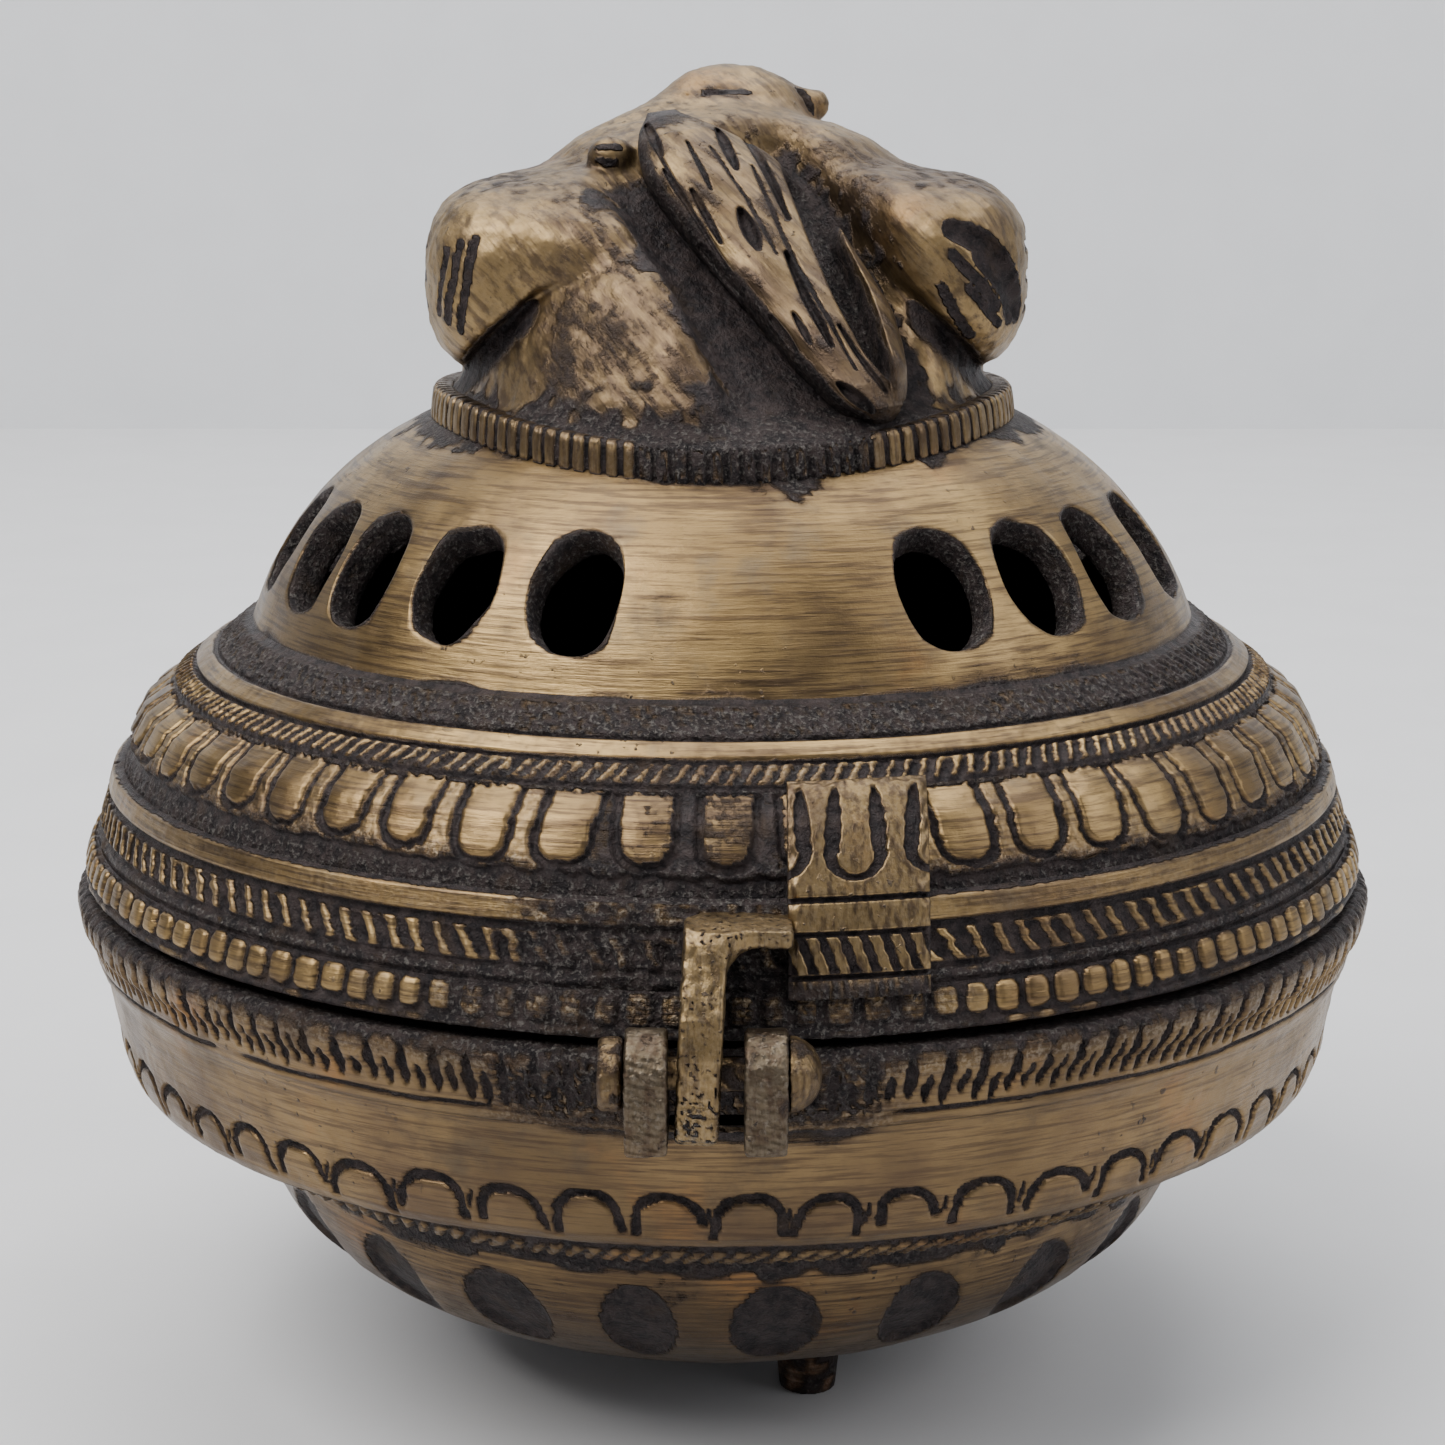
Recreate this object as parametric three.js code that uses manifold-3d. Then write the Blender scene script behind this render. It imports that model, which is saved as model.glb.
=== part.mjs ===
// A table censer of cast brass: a footed bowl with a banded rim, a hinged and pierced dome lid with
// a perched bird on top, a riveted hinge at the back, a pinned clasp at the front and a loose ember
// cup inside. Millimetres, +Z up. The origin is on the table, on the axis of the bowl.
// -Y is the hinge side and +Y the clasp side. Azimuths turn from -Y towards +X.
import * as THREE from "three";
import { mergeVertices } from "three/addons/utils/BufferGeometryUtils.js";
import Module from "manifold-3d";

const wasm = await Module();
wasm.setup();

// Driving dimensions.
const FIT = 0.3; // the gap that brazed or resting pieces keep
const TURN_SIDES = 48; // facets of a large turned piece
const ROUND_SIDES = 12; // facets of a small round piece
const ARC_STEPS = 4; // steps along the dome's arc
const BOWL_STEPS = 6; // steps along the round of the bowl

const SEAM_Z = 43.1; // the lid's lower lip
const RIM_Z = 42.4; // the bowl's rim
const RIM_R = 55.15; // the widest radius, just under the rim
const BEZEL = { outer: 51.0, inner: 49.2, top: 45.0 };
const LEDGE = { r: 51.8, z: 27.6 }; // lower edge of the banded wall
const BOWL = { r: 41.2, top: 22.3, bottom: 2.6, power: 2.2, wall: 2.7 };

const DOME = { topR: 25.2, topZ: 80.9, bendR: 36.6, bendZ: 75.4, footR: 40.2, footZ: 63.4, crown: 83.4 };
const LID_WALL = 2.4;
// Smoke holes: their number, first and last azimuth, middle and half sizes, and the dome's slope there.
const HOLES = {
  count: 22,
  first: 26,
  last: 342.5,
  z: 71.2,
  r: 36.8,
  halfWidth: 4.1,
  halfLength: 5.2,
  tilt: 35,
};

const FEET = { count: 3, first: 23, ring: 18.5, top: 3.0, bottom: 2.35 };

const AXIS = { y: 58.2, z: 42.4 }; // the hinge and clasp pins lie this far out and this high
const EAR = { thick: 2.9, round: 3.1, low: 37.5 };
const SEAT_Y = 53.15; // flats filed on bowl and lid behind the ears
const HINGE_FLAT = [-9.4, 7.8]; // the flat's two ends along X
const CLASP_FLAT = [-6.2, 6.2];
const FLAT_Z = [36.4, 47.4]; // the flats' lower and upper ends
const HINGE_EARS = [-6.6, 1.5]; // where each ear starts along X
const CLASP_EARS = [-4.9, 2.0];
const CLASP_TRAVEL = 6.4; // how far the clasp's pin slides home
const PIN_R = 1.15;
const BORE_R = 1.4;
const CLASP_BORE_R = 1.7; // the eye of the clasp's tongue

const COLLAR = { x: 25.3, y: 29.2, wide: 2.0, high: 2.7 }; // notched strip round the bird's foot

// The bird's body as a share of its foot, and the height of each share.
const BELL = [
  [0, 76],
  [1, 76],
  [0.99, 84],
  [0.955, 88.5],
  [0.89, 93],
  [0.77, 97.3],
  [0.58, 101],
  [0.38, 103.6],
  [0, 105.4],
];
const LEAN = 0.28; // how far the body leans towards the breast for its height

const radians = THREE.MathUtils.degToRad;
const v2 = (x, y) => new THREE.Vector2(x, y);

// Solids.
function solid(geometry) {
  const bare = geometry.clone();
  bare.deleteAttribute("normal");
  bare.deleteAttribute("uv");
  const merged = mergeVertices(bare, 1e-4);
  return new wasm.Manifold(
    new wasm.Mesh({
      numProp: 3,
      vertProperties: new Float32Array(merged.attributes.position.array),
      triVerts: new Uint32Array(merged.index.array),
    }),
  );
}

function geometryOf(made) {
  const mesh = made.getMesh();
  const geometry = new THREE.BufferGeometry();
  geometry.setAttribute("position", new THREE.BufferAttribute(mesh.vertProperties, 3));
  geometry.setIndex(new THREE.BufferAttribute(mesh.triVerts, 1));
  return geometry;
}

// A profile of [radius, height] points, turned round +Z. It starts and ends on the axis, or closes.
function turned(profile, sides = TURN_SIDES) {
  const points = profile.map(([r, z]) => v2(r, z));
  return new THREE.LatheGeometry(points, sides).rotateX(Math.PI / 2);
}

// The same, turned round +X, for pins: points are [radius, x].
function pinned(profile) {
  return turned(profile, ROUND_SIDES).rotateY(Math.PI / 2);
}

function box(low, high) {
  const size = high.map((h, i) => h - low[i]);
  const middle = high.map((h, i) => (h + low[i]) / 2);
  return new THREE.BoxGeometry(...size).translate(...middle);
}

// A ball stretched from one point to another, with its thickness set along an outward direction.
function lobe(from, to, halfWidth, halfThick, outward) {
  const start = new THREE.Vector3(...from);
  const end = new THREE.Vector3(...to);
  const along = end.clone().sub(start).normalize();
  const side = along.clone().cross(new THREE.Vector3(...outward)).normalize();
  const ball = new THREE.SphereGeometry(1, 16, 10);
  ball.scale(halfWidth, start.distanceTo(end) / 2, halfThick);
  ball.applyMatrix4(new THREE.Matrix4().makeBasis(side, along, side.clone().cross(along)));
  return ball.translate(...start.add(end).multiplyScalar(0.5));
}

// An outline of [y, z] points, extruded along X from one x to the other.
function plate(outline, x0, x1, holes = []) {
  const points = outline.map(([y, z]) => v2(y, z));
  if (THREE.ShapeUtils.isClockWise(points)) points.reverse();
  const shape = new THREE.Shape(points);
  holes.forEach(([y, z, r]) => shape.holes.push(new THREE.Path().absarc(y, z, r, 0, 2 * Math.PI, true)));
  const made = new THREE.ExtrudeGeometry(shape, { depth: x1 - x0, bevelEnabled: false, curveSegments: 6 });
  // The shape's x and y become the part's Y and Z, and its depth becomes X.
  const basis = new THREE.Matrix4().set(0, 0, 1, x0, 1, 0, 0, 0, 0, 1, 0, 0, 0, 0, 0, 1);
  return made.applyMatrix4(basis);
}

// A profile pushed out along its normals. Points run from the axis at the top to the axis below.
function grown(profile, by) {
  return profile.map(([r, z], i) => {
    const [r0, z0] = profile[Math.max(0, i - 1)];
    const [r1, z1] = profile[Math.min(profile.length - 1, i + 1)];
    const along = Math.hypot(r1 - r0, z1 - z0);
    const out = [-(z1 - z0) / along, (r1 - r0) / along];
    return [r === 0 ? 0 : r + out[0] * by, z + out[1] * by];
  });
}

// Profiles.
function domeArc(inset) {
  const curve = new THREE.QuadraticBezierCurve(
    v2(DOME.topR - inset * 0.5, DOME.topZ - inset),
    v2(DOME.bendR - inset * 0.8, DOME.bendZ - inset * 0.8),
    v2(DOME.footR - inset, DOME.footZ - inset * 0.4),
  );
  return curve.getPoints(ARC_STEPS).map((p) => [p.x, p.y]);
}

// The lid's outside, from the crown to the seam: dome, shoulder and banded skirt.
function lidOutside() {
  return [
    [0, DOME.crown],
    [13, DOME.crown - 0.3],
    ...domeArc(0),
    [47.0, 59.4],
    [49.6, 57.6],
    [52.0, 52.2],
    [54.0, 46.3],
    [54.95, 43.7],
    [54.8, SEAM_Z],
  ];
}

function lidInside() {
  const wall = LID_WALL;
  return [
    [51.7, SEAM_Z],
    [51.5, 46.0],
    [49.4, 52.0],
    [46.6, 56.6],
    [40.6, 60.4],
    ...domeArc(wall).reverse(),
    [13, DOME.crown - wall - 0.3],
    [0, DOME.crown - wall],
  ];
}

function roundBowl(r, top, bottom) {
  const points = [];
  for (let i = 0; i <= BOWL_STEPS; i += 1) {
    const angle = (Math.PI / 2) * (i / BOWL_STEPS);
    const across = i === BOWL_STEPS ? 0 : Math.cos(angle) ** (2 / BOWL.power);
    points.push([r * across, top - (top - bottom) * Math.sin(angle) ** (2 / BOWL.power)]);
  }
  return points;
}

// The bowl's outside, from the axis underneath up to the rim.
function bowlOutside() {
  return [
    ...roundBowl(BOWL.r, BOWL.top, BOWL.bottom).reverse(),
    [43.2, 22.8],
    [46.2, 24.6],
    [LEDGE.r - 0.5, LEDGE.z - 0.5],
    [LEDGE.r, LEDGE.z],
    [53.2, 35.7],
    [54.15, 38.0],
    [55.0, 40.6],
    [RIM_R, 41.7],
    [54.8, RIM_Z],
  ];
}

function bowlInside() {
  const inner = BOWL.r - BOWL.wall;
  return [
    [BEZEL.outer, RIM_Z],
    [BEZEL.outer, BEZEL.top],
    [BEZEL.inner, BEZEL.top],
    [BEZEL.inner, 30.4],
    [47.6, 28.0],
    [42.5, 25.4],
    ...roundBowl(inner, BOWL.top, BOWL.bottom + BOWL.wall),
  ];
}

// Cutters.
function flats(z0, z1) {
  const far = RIM_R + 2;
  const hingeSide = solid(box([HINGE_FLAT[0], -far, z0], [HINGE_FLAT[1], -SEAT_Y, z1]));
  return hingeSide.add(solid(box([CLASP_FLAT[0], SEAT_Y, z0], [CLASP_FLAT[1], far, z1])));
}

function smokeHole(azimuth) {
  const cutter = new THREE.CylinderGeometry(1, 1, 12, ROUND_SIDES);
  cutter.scale(HOLES.halfWidth, 1, HOLES.halfLength); // its length runs along Y
  cutter.rotateX(-radians(HOLES.tilt)); // from the dome's normal at this height
  cutter.translate(0, -HOLES.r, HOLES.z);
  cutter.rotateZ(radians(azimuth));
  return solid(cutter);
}

// Pieces.
function bowl() {
  const body = solid(turned([...bowlOutside(), ...bowlInside()]));
  return geometryOf(body.subtract(flats(FLAT_Z[0], RIM_Z + 1)));
}

function foot() {
  const low = BOWL.bottom + 4;
  return solid(turned([[0, 0], [FEET.bottom, 0], [FEET.top, low], [0, low]], ROUND_SIDES));
}

function feet() {
  const outside = grown(bowlOutside().slice(0, BOWL_STEPS + 1).reverse(), FIT).reverse();
  const above = solid(turned([...outside, [outside.at(-1)[0], 30], [0, 30]]));
  const made = [];
  for (let i = 0; i < FEET.count; i += 1) {
    const azimuth = radians(FEET.first + (360 / FEET.count) * i);
    const place = [FEET.ring * Math.sin(azimuth), -FEET.ring * Math.cos(azimuth), 0];
    made.push(geometryOf(foot().translate(place).subtract(above)));
  }
  return made;
}

function lid() {
  let body = solid(turned([...lidOutside(), ...lidInside()].reverse()));
  const step = (HOLES.last - HOLES.first) / (HOLES.count - 1);
  for (let i = 0; i < HOLES.count; i += 1) {
    body = body.subtract(smokeHole(HOLES.first + step * i));
  }
  return geometryOf(body.subtract(flats(SEAM_Z - 1, FLAT_Z[1])));
}

// One ear of the hinge or the clasp: a plate with a round head about the pin.
function ear(side, x0) {
  const head = [];
  for (let i = 0; i <= 8; i += 1) {
    const turn = Math.PI * (i / 8);
    head.push([side * (AXIS.y + EAR.round * Math.cos(turn)), AXIS.z + EAR.round * Math.sin(turn)]);
  }
  const outline = [
    [side * (AXIS.y + EAR.round - 0.8), EAR.low],
    [side * (AXIS.y + EAR.round), EAR.low + 0.8],
    ...head,
    [side * (AXIS.y - EAR.round), AXIS.z - 1.0],
    [side * (SEAT_Y + FIT), AXIS.z - 1.6],
    [side * (SEAT_Y + FIT), EAR.low],
  ];
  return plate(outline, x0, x0 + EAR.thick, [[side * AXIS.y, AXIS.z, BORE_R]]);
}

// The leaf on the lid: a plate bent over the skirt, a bridge, and a tongue down between the ears.
function hingeLeaf() {
  const tongue = plate(
    [
      [-55.5, 52.7],
      [-57.0, 51.4],
      [-59.9, 46.5],
      [-60.5, 44.0],
      [-60.5, 38.4],
      [-59.9, 37.8],
      [-56.6, 37.8],
      [-56.2, 45.6],
      [-54.0, 47.6],
      [-50.0, 47.6],
      [-50.0, 52.7],
    ],
    -3.3,
    0.3,
    [[-AXIS.y, AXIS.z, BORE_R]],
  );
  const shell = solid(turned([...grown(lidOutside(), 1.5), [0, 40]].reverse()));
  const upper = solid(box([4.6, -60, 46.6], [14.6, -30, 60.6]));
  const plates = upper.add(solid(box([8.2, -60, 43.6], [14.6, -30, 50])));
  const patch = plates.intersect(shell);
  const bridge = solid(box([0, -56.2, 50.6], [5.0, -48, 52.5]));
  const clear = solid(turned([...grown(lidOutside(), FIT), [0, 40]].reverse()));
  return geometryOf(solid(tongue).add(patch).add(bridge).subtract(clear));
}

// A rivet with one flattened head and one domed head.
function hingePin() {
  const left = HINGE_EARS[0] - 0.35;
  const right = HINGE_EARS[1] + EAR.thick + 0.3;
  const profile = [
    [0, left - 1.6],
    [2.1, left - 1.6],
    [2.5, left - 1.1],
    [2.5, left],
    [PIN_R, left],
    [PIN_R, right],
    [2.6, right],
    [2.5, right + 0.9],
    [1.7, right + 1.8],
    [0, right + 2.15],
  ];
  return pinned(profile).translate(0, -AXIS.y, AXIS.z);
}

// The clasp's tongue ends in a round eye, with a wide bore that the loose pin slips through.
function claspTongue() {
  const eye = [];
  for (let i = 0; i <= 8; i += 1) {
    const turn = Math.PI * (1 + i / 8);
    eye.push([AXIS.y + EAR.round * Math.cos(turn), AXIS.z + EAR.round * Math.sin(turn)]);
  }
  const outline = [
    ...eye,
    [61.2, 43.8],
    [59.8, 47.0],
    [56.8, 51.4],
    [55.0, 52.8],
    [50.0, 52.8],
    [50.0, 47.6],
    [53.8, 47.6],
    [55.3, 45.4],
  ];
  const blade = plate(outline, -1.6, 1.6, [[AXIS.y, AXIS.z, CLASP_BORE_R]]);
  const clear = solid(turned([...grown(lidOutside(), FIT), [0, 40]].reverse()));
  return geometryOf(solid(blade).subtract(clear));
}

// The clasp's pin, drawn back so that only the ear on +X holds it.
function claspPin() {
  const tip = CLASP_EARS[1] + 0.1;
  const stop = CLASP_EARS[1] + EAR.thick + CLASP_TRAVEL + 0.25;
  const knob = 2.3;
  const profile = [
    [0, tip],
    [PIN_R - 0.35, tip],
    [PIN_R, tip + 0.6],
    [PIN_R, stop],
    [1.9, stop],
    [1.9, stop + 0.7],
    [1.2, stop + 1.1],
    [knob, stop + 2.2],
    [knob, stop + 3.4],
    [1.2, stop + 4.5],
    [0, stop + 4.7],
  ];
  return pinned(profile).translate(0, AXIS.y, AXIS.z);
}

function emberCup() {
  const profile = [
    [0, 6.5],
    [14, 6.5],
    [22, 8.6],
    [28, 14],
    [31, 21],
    [31.8, 26.4],
    [32.9, 27.0],
    [32.9, 27.9],
    [31.6, 28.3],
    [30.5, 27.6],
    [29.6, 21.3],
    [26.8, 14.8],
    [21.3, 10.0],
    [13.7, 7.9],
    [0, 7.9],
  ];
  return turned(profile, 36);
}

// The dome under the bird, raised by a given gap, as a plain solid.
function domeBelow(gap) {
  const outside = lidOutside().slice(0, 9);
  return solid(turned([...grown(outside, gap), [0, 60]].reverse()));
}

function ovalDisc(x, y, z0, z1) {
  const disc = new THREE.CylinderGeometry(1, 1, z1 - z0, 40);
  disc.rotateX(Math.PI / 2);
  disc.scale(x, y, 1);
  disc.translate(0, 0, (z0 + z1) / 2);
  return solid(disc);
}

function collarRing() {
  const outer = ovalDisc(COLLAR.x, COLLAR.y, 74, 90);
  const inner = ovalDisc(COLLAR.x - COLLAR.wide, COLLAR.y - COLLAR.wide, 70, 95);
  return geometryOf(outer.subtract(inner).intersect(domeBelow(COLLAR.high)).subtract(domeBelow(FIT)));
}

// Moves what is above the bird's foot towards the breast, the more the higher it is.
function leanForward(geometry) {
  const position = geometry.attributes.position;
  for (let i = 0; i < position.count; i += 1) {
    const rise = Math.max(0, position.getZ(i) - BELL[2][1]);
    position.setY(i, position.getY(i) + LEAN * rise);
  }
}

// The bird, cast in one: a bell-shaped body, two drooping wings, shoulders, head, beak and broad tail.
function bird() {
  const bell = turned(BELL, 28).scale(COLLAR.x - COLLAR.wide - FIT, COLLAR.y - COLLAR.wide - FIT, 1);
  leanForward(bell);
  const parts = [
    lobe([-16.5, 13.5, 93.6], [-16.5, -15.5, 92.0], 8.1, 8.3, [-1, 0, 0.2]),
    lobe([16.5, 13.5, 93.6], [16.5, -15.5, 92.0], 8.1, 8.3, [1, 0, 0.2]),
    lobe([-14.0, 4.0, 101.0], [14.0, 4.0, 101.0], 10.0, 4.4, [0, 0, 1]),
    lobe([0, 4.0, 100.0], [2.0, 17.0, 108.0], 6.4, 5.6, [0, -0.6, 0.8]),
    lobe([3.0, 12.0, 107.0], [9.4, 12.4, 106.8], 2.2, 2.3, [0, -0.3, 1]),
    lobe([-2.4, -5.0, 106.2], [12.8, -27.0, 82.8], 6.9, 3.8, [0.3, -0.75, 0.6]),
  ];
  const whole = parts.reduce((made, part) => made.add(solid(part)), solid(bell));
  return geometryOf(whole.subtract(domeBelow(FIT)).subtract(keepOff()));
}

// The space of the collar with its gap, where the bird keeps off it.
function keepOff() {
  const outer = ovalDisc(COLLAR.x + 3, COLLAR.y + 3, 70, 95);
  const inner = ovalDisc(COLLAR.x - COLLAR.wide - FIT, COLLAR.y - COLLAR.wide - FIT, 70, 96);
  return outer.subtract(inner).intersect(domeBelow(COLLAR.high + FIT));
}

// Materials and assembly.
const brass = (color, roughness) => new THREE.MeshStandardMaterial({ color, roughness, metalness: 1 });
const CAST = brass(0x8a7448, 0.42);
const WORN = brass(0x9a8558, 0.38);
const STEEL = brass(0x77705f, 0.45);
const SOOTY = brass(0x4a4136, 0.6);

const censer = new THREE.Group();

function add(name, geometry, material) {
  const mesh = new THREE.Mesh(geometry, material);
  mesh.name = name;
  censer.add(mesh);
}

add("bowl", bowl(), CAST);
feet().forEach((geometry, i) => add(`foot_${i + 1}`, geometry, CAST));
add("hinge_ear_left", ear(-1, HINGE_EARS[0]), STEEL);
add("hinge_ear_right", ear(-1, HINGE_EARS[1]), STEEL);
add("hinge_pin", hingePin(), STEEL);
add("clasp_ear_left", ear(1, CLASP_EARS[0]), STEEL);
add("clasp_ear_right", ear(1, CLASP_EARS[1]), STEEL);
add("lid", lid(), CAST);
add("hinge_leaf", hingeLeaf(), WORN);
add("clasp_tongue", claspTongue(), WORN);
add("collar_ring", collarRing(), WORN);
add("bird", bird(), CAST);
add("clasp_pin", claspPin(), STEEL);
add("ember_cup", emberCup(), SOOTY);

export default censer;
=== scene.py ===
"""A cast brass table censer: chased bands, pierced dome, carved bird, riveted hinge and pinned clasp.

Lengths are in millimetres until a mesh is made. Azimuths are in turns from -Y towards +X.
"""

import math

import bpy
import numpy as np
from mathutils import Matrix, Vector, noise


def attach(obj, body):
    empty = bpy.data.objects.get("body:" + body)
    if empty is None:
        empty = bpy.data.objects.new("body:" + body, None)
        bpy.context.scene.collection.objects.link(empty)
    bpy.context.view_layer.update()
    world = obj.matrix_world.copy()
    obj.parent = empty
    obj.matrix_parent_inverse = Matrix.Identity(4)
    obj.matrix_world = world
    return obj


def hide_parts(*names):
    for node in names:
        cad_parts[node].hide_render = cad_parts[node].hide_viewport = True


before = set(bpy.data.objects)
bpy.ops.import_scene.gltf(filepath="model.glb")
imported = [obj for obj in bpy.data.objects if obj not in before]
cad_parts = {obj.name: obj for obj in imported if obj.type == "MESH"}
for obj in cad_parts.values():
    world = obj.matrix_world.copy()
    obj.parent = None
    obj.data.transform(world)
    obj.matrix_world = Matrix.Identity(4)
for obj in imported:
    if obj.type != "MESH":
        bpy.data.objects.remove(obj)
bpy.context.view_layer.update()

MM = 0.001
BOWL_BODY = "bowl_body"
LID_BODY = "lid_body"
PIN_BODY = "clasp_pin_body"
CUP_BODY = "cup_body"

# Driving dimensions, in millimetres, as in the frame.
SEAT_Y = 53.15  # flats behind the ears
HINGE_FLAT = (-5.6, 3.4)  # the flats are hidden behind the ears
CLASP_FLAT = (-3.9, 3.9)
FLAT_Z = (36.4, 44.0)
AXIS_Y = 58.2  # the pins lie this far out
AXIS_Z = 42.4
EAR_THICK = 2.9
PIN_PULL = 6.4  # the clasp's pin is modelled this far out of its ears
HINGE_EARS = (-6.6, 1.5)  # where each ear starts, to the right
CLASP_EARS = (-4.9, 2.0)
COLLAR = (24.5, 29.3)  # half axes of the notched strip at the bird's foot
DOME = ((25.2, 80.9), (36.6, 75.4), (40.2, 63.6))
DOME_INSIDE = ((24.0, 78.4), (34.5, 73.3), (37.8, 62.4))


# ---------------------------------------------------------------- numbers and noise


def step(low, high, value):
    """0 below low, 1 above high and smooth between them; the other way round if low is above high."""
    t = np.clip((value - low) / (high - low), 0, 1)
    return t * t * (3 - 2 * t)


def grain(s, a, size, count, seed):
    """Smooth noise from -1 to 1, with cells of size mm down the path and count cells round the axis."""
    y = np.asarray(s, float) / size + 1
    x = np.asarray(a, float) * count
    lattice = np.random.default_rng(seed).uniform(-1, 1, (int(y.max()) + 3, count))
    y0, x0 = (np.floor(v).astype(int) for v in (y, x))
    fy, fx = (f * f * (3 - 2 * f) for f in (y - y0, x - x0))
    left, right = x0 % count, (x0 + 1) % count
    upper = lattice[y0, left] * (1 - fx) + lattice[y0, right] * fx
    lower = lattice[y0 + 1, left] * (1 - fx) + lattice[y0 + 1, right] * fx
    return upper * (1 - fy) + lower * fy


def round_grain(a, count, seed):
    """Smooth noise that only changes round the axis."""
    return grain(0 * a, a, 1, count, seed)


def pick(index, count, seed, low=0.0, high=1.0):
    """A fixed random number for each whole index, repeating after count."""
    values = np.random.default_rng(seed).uniform(low, high, count)
    return values[index % count]


def azimuth_from(a, centre):
    """Degrees from a centre azimuth in degrees, between -180 and 180."""
    return (np.asarray(a) * 360 - centre + 180) % 360 - 180


def facing(a, centre, low, high):
    """step() over the degrees to either side of a centre azimuth."""
    return step(low, high, np.abs(azimuth_from(a, centre)))


class Row:
    """A row of repeats: index tells which one a point belongs to, x where in it, from -0.5 to 0.5."""

    def __init__(self, phase, count):
        self.index = np.floor(phase).astype(int)
        self.x = phase - self.index - 0.5
        self.count = count

    def each(self, seed, low=0.0, high=1.0):
        return pick(self.index, self.count, seed, low, high)


# ---------------------------------------------------------------- meshes


def mesh_object(name, points, faces, patina_and_shade, grit, body, material, *nodes):
    """A piece from points in mm and quads, with patina and grit from 0 to 1 on its points; on some pieces the patina
    marks also hold painted shade.
    """
    points = points.reshape(-1, 3) * MM
    mesh = bpy.data.meshes.new(name)
    mesh.vertices.add(len(points))
    mesh.vertices.foreach_set("co", points.astype(np.float32).ravel())
    mesh.loops.add(faces.size)
    mesh.loops.foreach_set("vertex_index", faces.astype(np.int32).ravel())
    mesh.polygons.add(len(faces))
    mesh.polygons.foreach_set("loop_start", np.arange(0, faces.size, 4, dtype=np.int32))
    mesh.update(calc_edges=True)
    mesh.validate()
    mesh.shade_smooth()
    for key, values in (("patina_and_shade", patina_and_shade), ("grit", grit)):
        layer = mesh.attributes.new(key, "FLOAT", "POINT")
        layer.data.foreach_set("value", np.clip(values, 0, 1).astype(np.float32).ravel())
    mesh.materials.append(material)
    piece = bpy.data.objects.new(name, mesh)
    bpy.context.collection.objects.link(piece)
    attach(piece, body)
    if nodes:
        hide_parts(*nodes)


def grid_faces(rows, columns, close_rows, close_columns=True):
    """Quads of a grid of points, facing outwards where rows run down and columns run to the right."""
    top = np.arange(rows if close_rows else rows - 1)[:, None]
    left = np.arange(columns if close_columns else columns - 1)[None, :]
    below = (top + 1) % rows
    right = (left + 1) % columns
    corners = [top * columns + left, below * columns + left, below * columns + right, top * columns + right]
    return np.stack(np.broadcast_arrays(*corners), -1).reshape(-1, 4)


def measured(path):
    """A path of [r, z] as an array, with the distance along it at each of its points."""
    path = np.array(path, float)
    return path, np.concatenate([[0], np.cumsum(np.hypot(*np.diff(path, axis=0).T))])


def walk(path, rows):
    """Evenly spaced points along a path of [r, z], their outward directions and their distances."""
    path, along = measured(path)
    s = np.linspace(0, along[-1], rows)
    r, z = (np.interp(s, along, path[:, k]) for k in (0, 1))
    reach = 0.35  # the directions are smoothed over twice this
    dr, dz = (np.interp(s + reach, along, path[:, k]) - np.interp(s - reach, along, path[:, k]) for k in (0, 1))
    size = np.hypot(dr, dz)
    return r, z, -dz / size, dr / size, s


def with_seats(points):
    """Points of the bowl with flats filed behind the ears, where the tongues swing."""
    x, y, z = np.moveaxis(points, -1, 0)
    tall = step(FLAT_Z[0] - 0.5, FLAT_Z[0] + 0.3, z) * step(FLAT_Z[1] + 0.6, FLAT_Z[1], z)
    for side, (start, end) in ((-1, HINGE_FLAT), (1, CLASP_FLAT)):
        wide = step(start - 0.4, start, x) * step(end + 0.4, end, x)
        limit = SEAT_Y + 6 * (1 - wide * tall)
        y = np.where(side * y > limit, side * limit, y)
    return np.stack([x, y, z], -1)


def placed(r, z, a):
    """Points of a turned surface: r and z of any shape, at azimuths of a that fit them."""
    angle = 2 * math.pi * a
    x = r * np.sin(angle)
    y = -r * np.cos(angle)
    return np.stack([x, y, np.broadcast_to(z, x.shape)], -1)


def lifted(r, z, nr, nz, height, a):
    """Points of a turned surface at azimuths a, raised by height along its outward directions."""
    return placed(r[:, None] + nr[:, None] * height, z[:, None] + nz[:, None] * height, a)


def around(columns):
    """Evenly spaced azimuths, as one row."""
    return np.arange(columns)[None, :] / columns


def ring(name, path, rows, columns, relief, thick, body, material):
    """A closed ring. path runs down its outside; relief(s, a) gives height, patina and grit there."""
    r, z, nr, nz, s = walk(path, rows)
    a = around(columns)
    height, patina_and_shade, grit = (np.broadcast_to(v, (rows, columns)) for v in relief(s[:, None], a))
    sparse = slice(None, None, -max(1, rows // 6))
    hidden = np.ones(((rows - 1) // max(1, rows // 6) + 1, columns))
    back = placed((r - nr * thick)[sparse, None] * hidden, (z - nz * thick)[sparse, None], a)
    points = np.concatenate([lifted(r, z, nr, nz, height, a), back])
    if body == BOWL_BODY:
        points = with_seats(points)
    patina_and_shade, grit = (np.concatenate([v, hidden]) for v in (patina_and_shade, grit))
    mesh_object(name, points, grid_faces(len(points), columns, True), patina_and_shade, grit, body, material)


# ---------------------------------------------------------------- chased ornament


def dull_side(a, left, right):
    """1 where hands and cloths don't reach, from left to right of the hinge and round the clasp, else 0."""
    sway = 1.5 * round_grain(a, 23, 3)
    hinge = azimuth_from(a, 0) + sway
    clasp = step(19, 11, np.abs(azimuth_from(a, 180) + sway))
    return np.maximum(step(-left - 4, -left + 3, hinge) * step(right + 4, right - 3, hinge), clasp)


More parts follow.
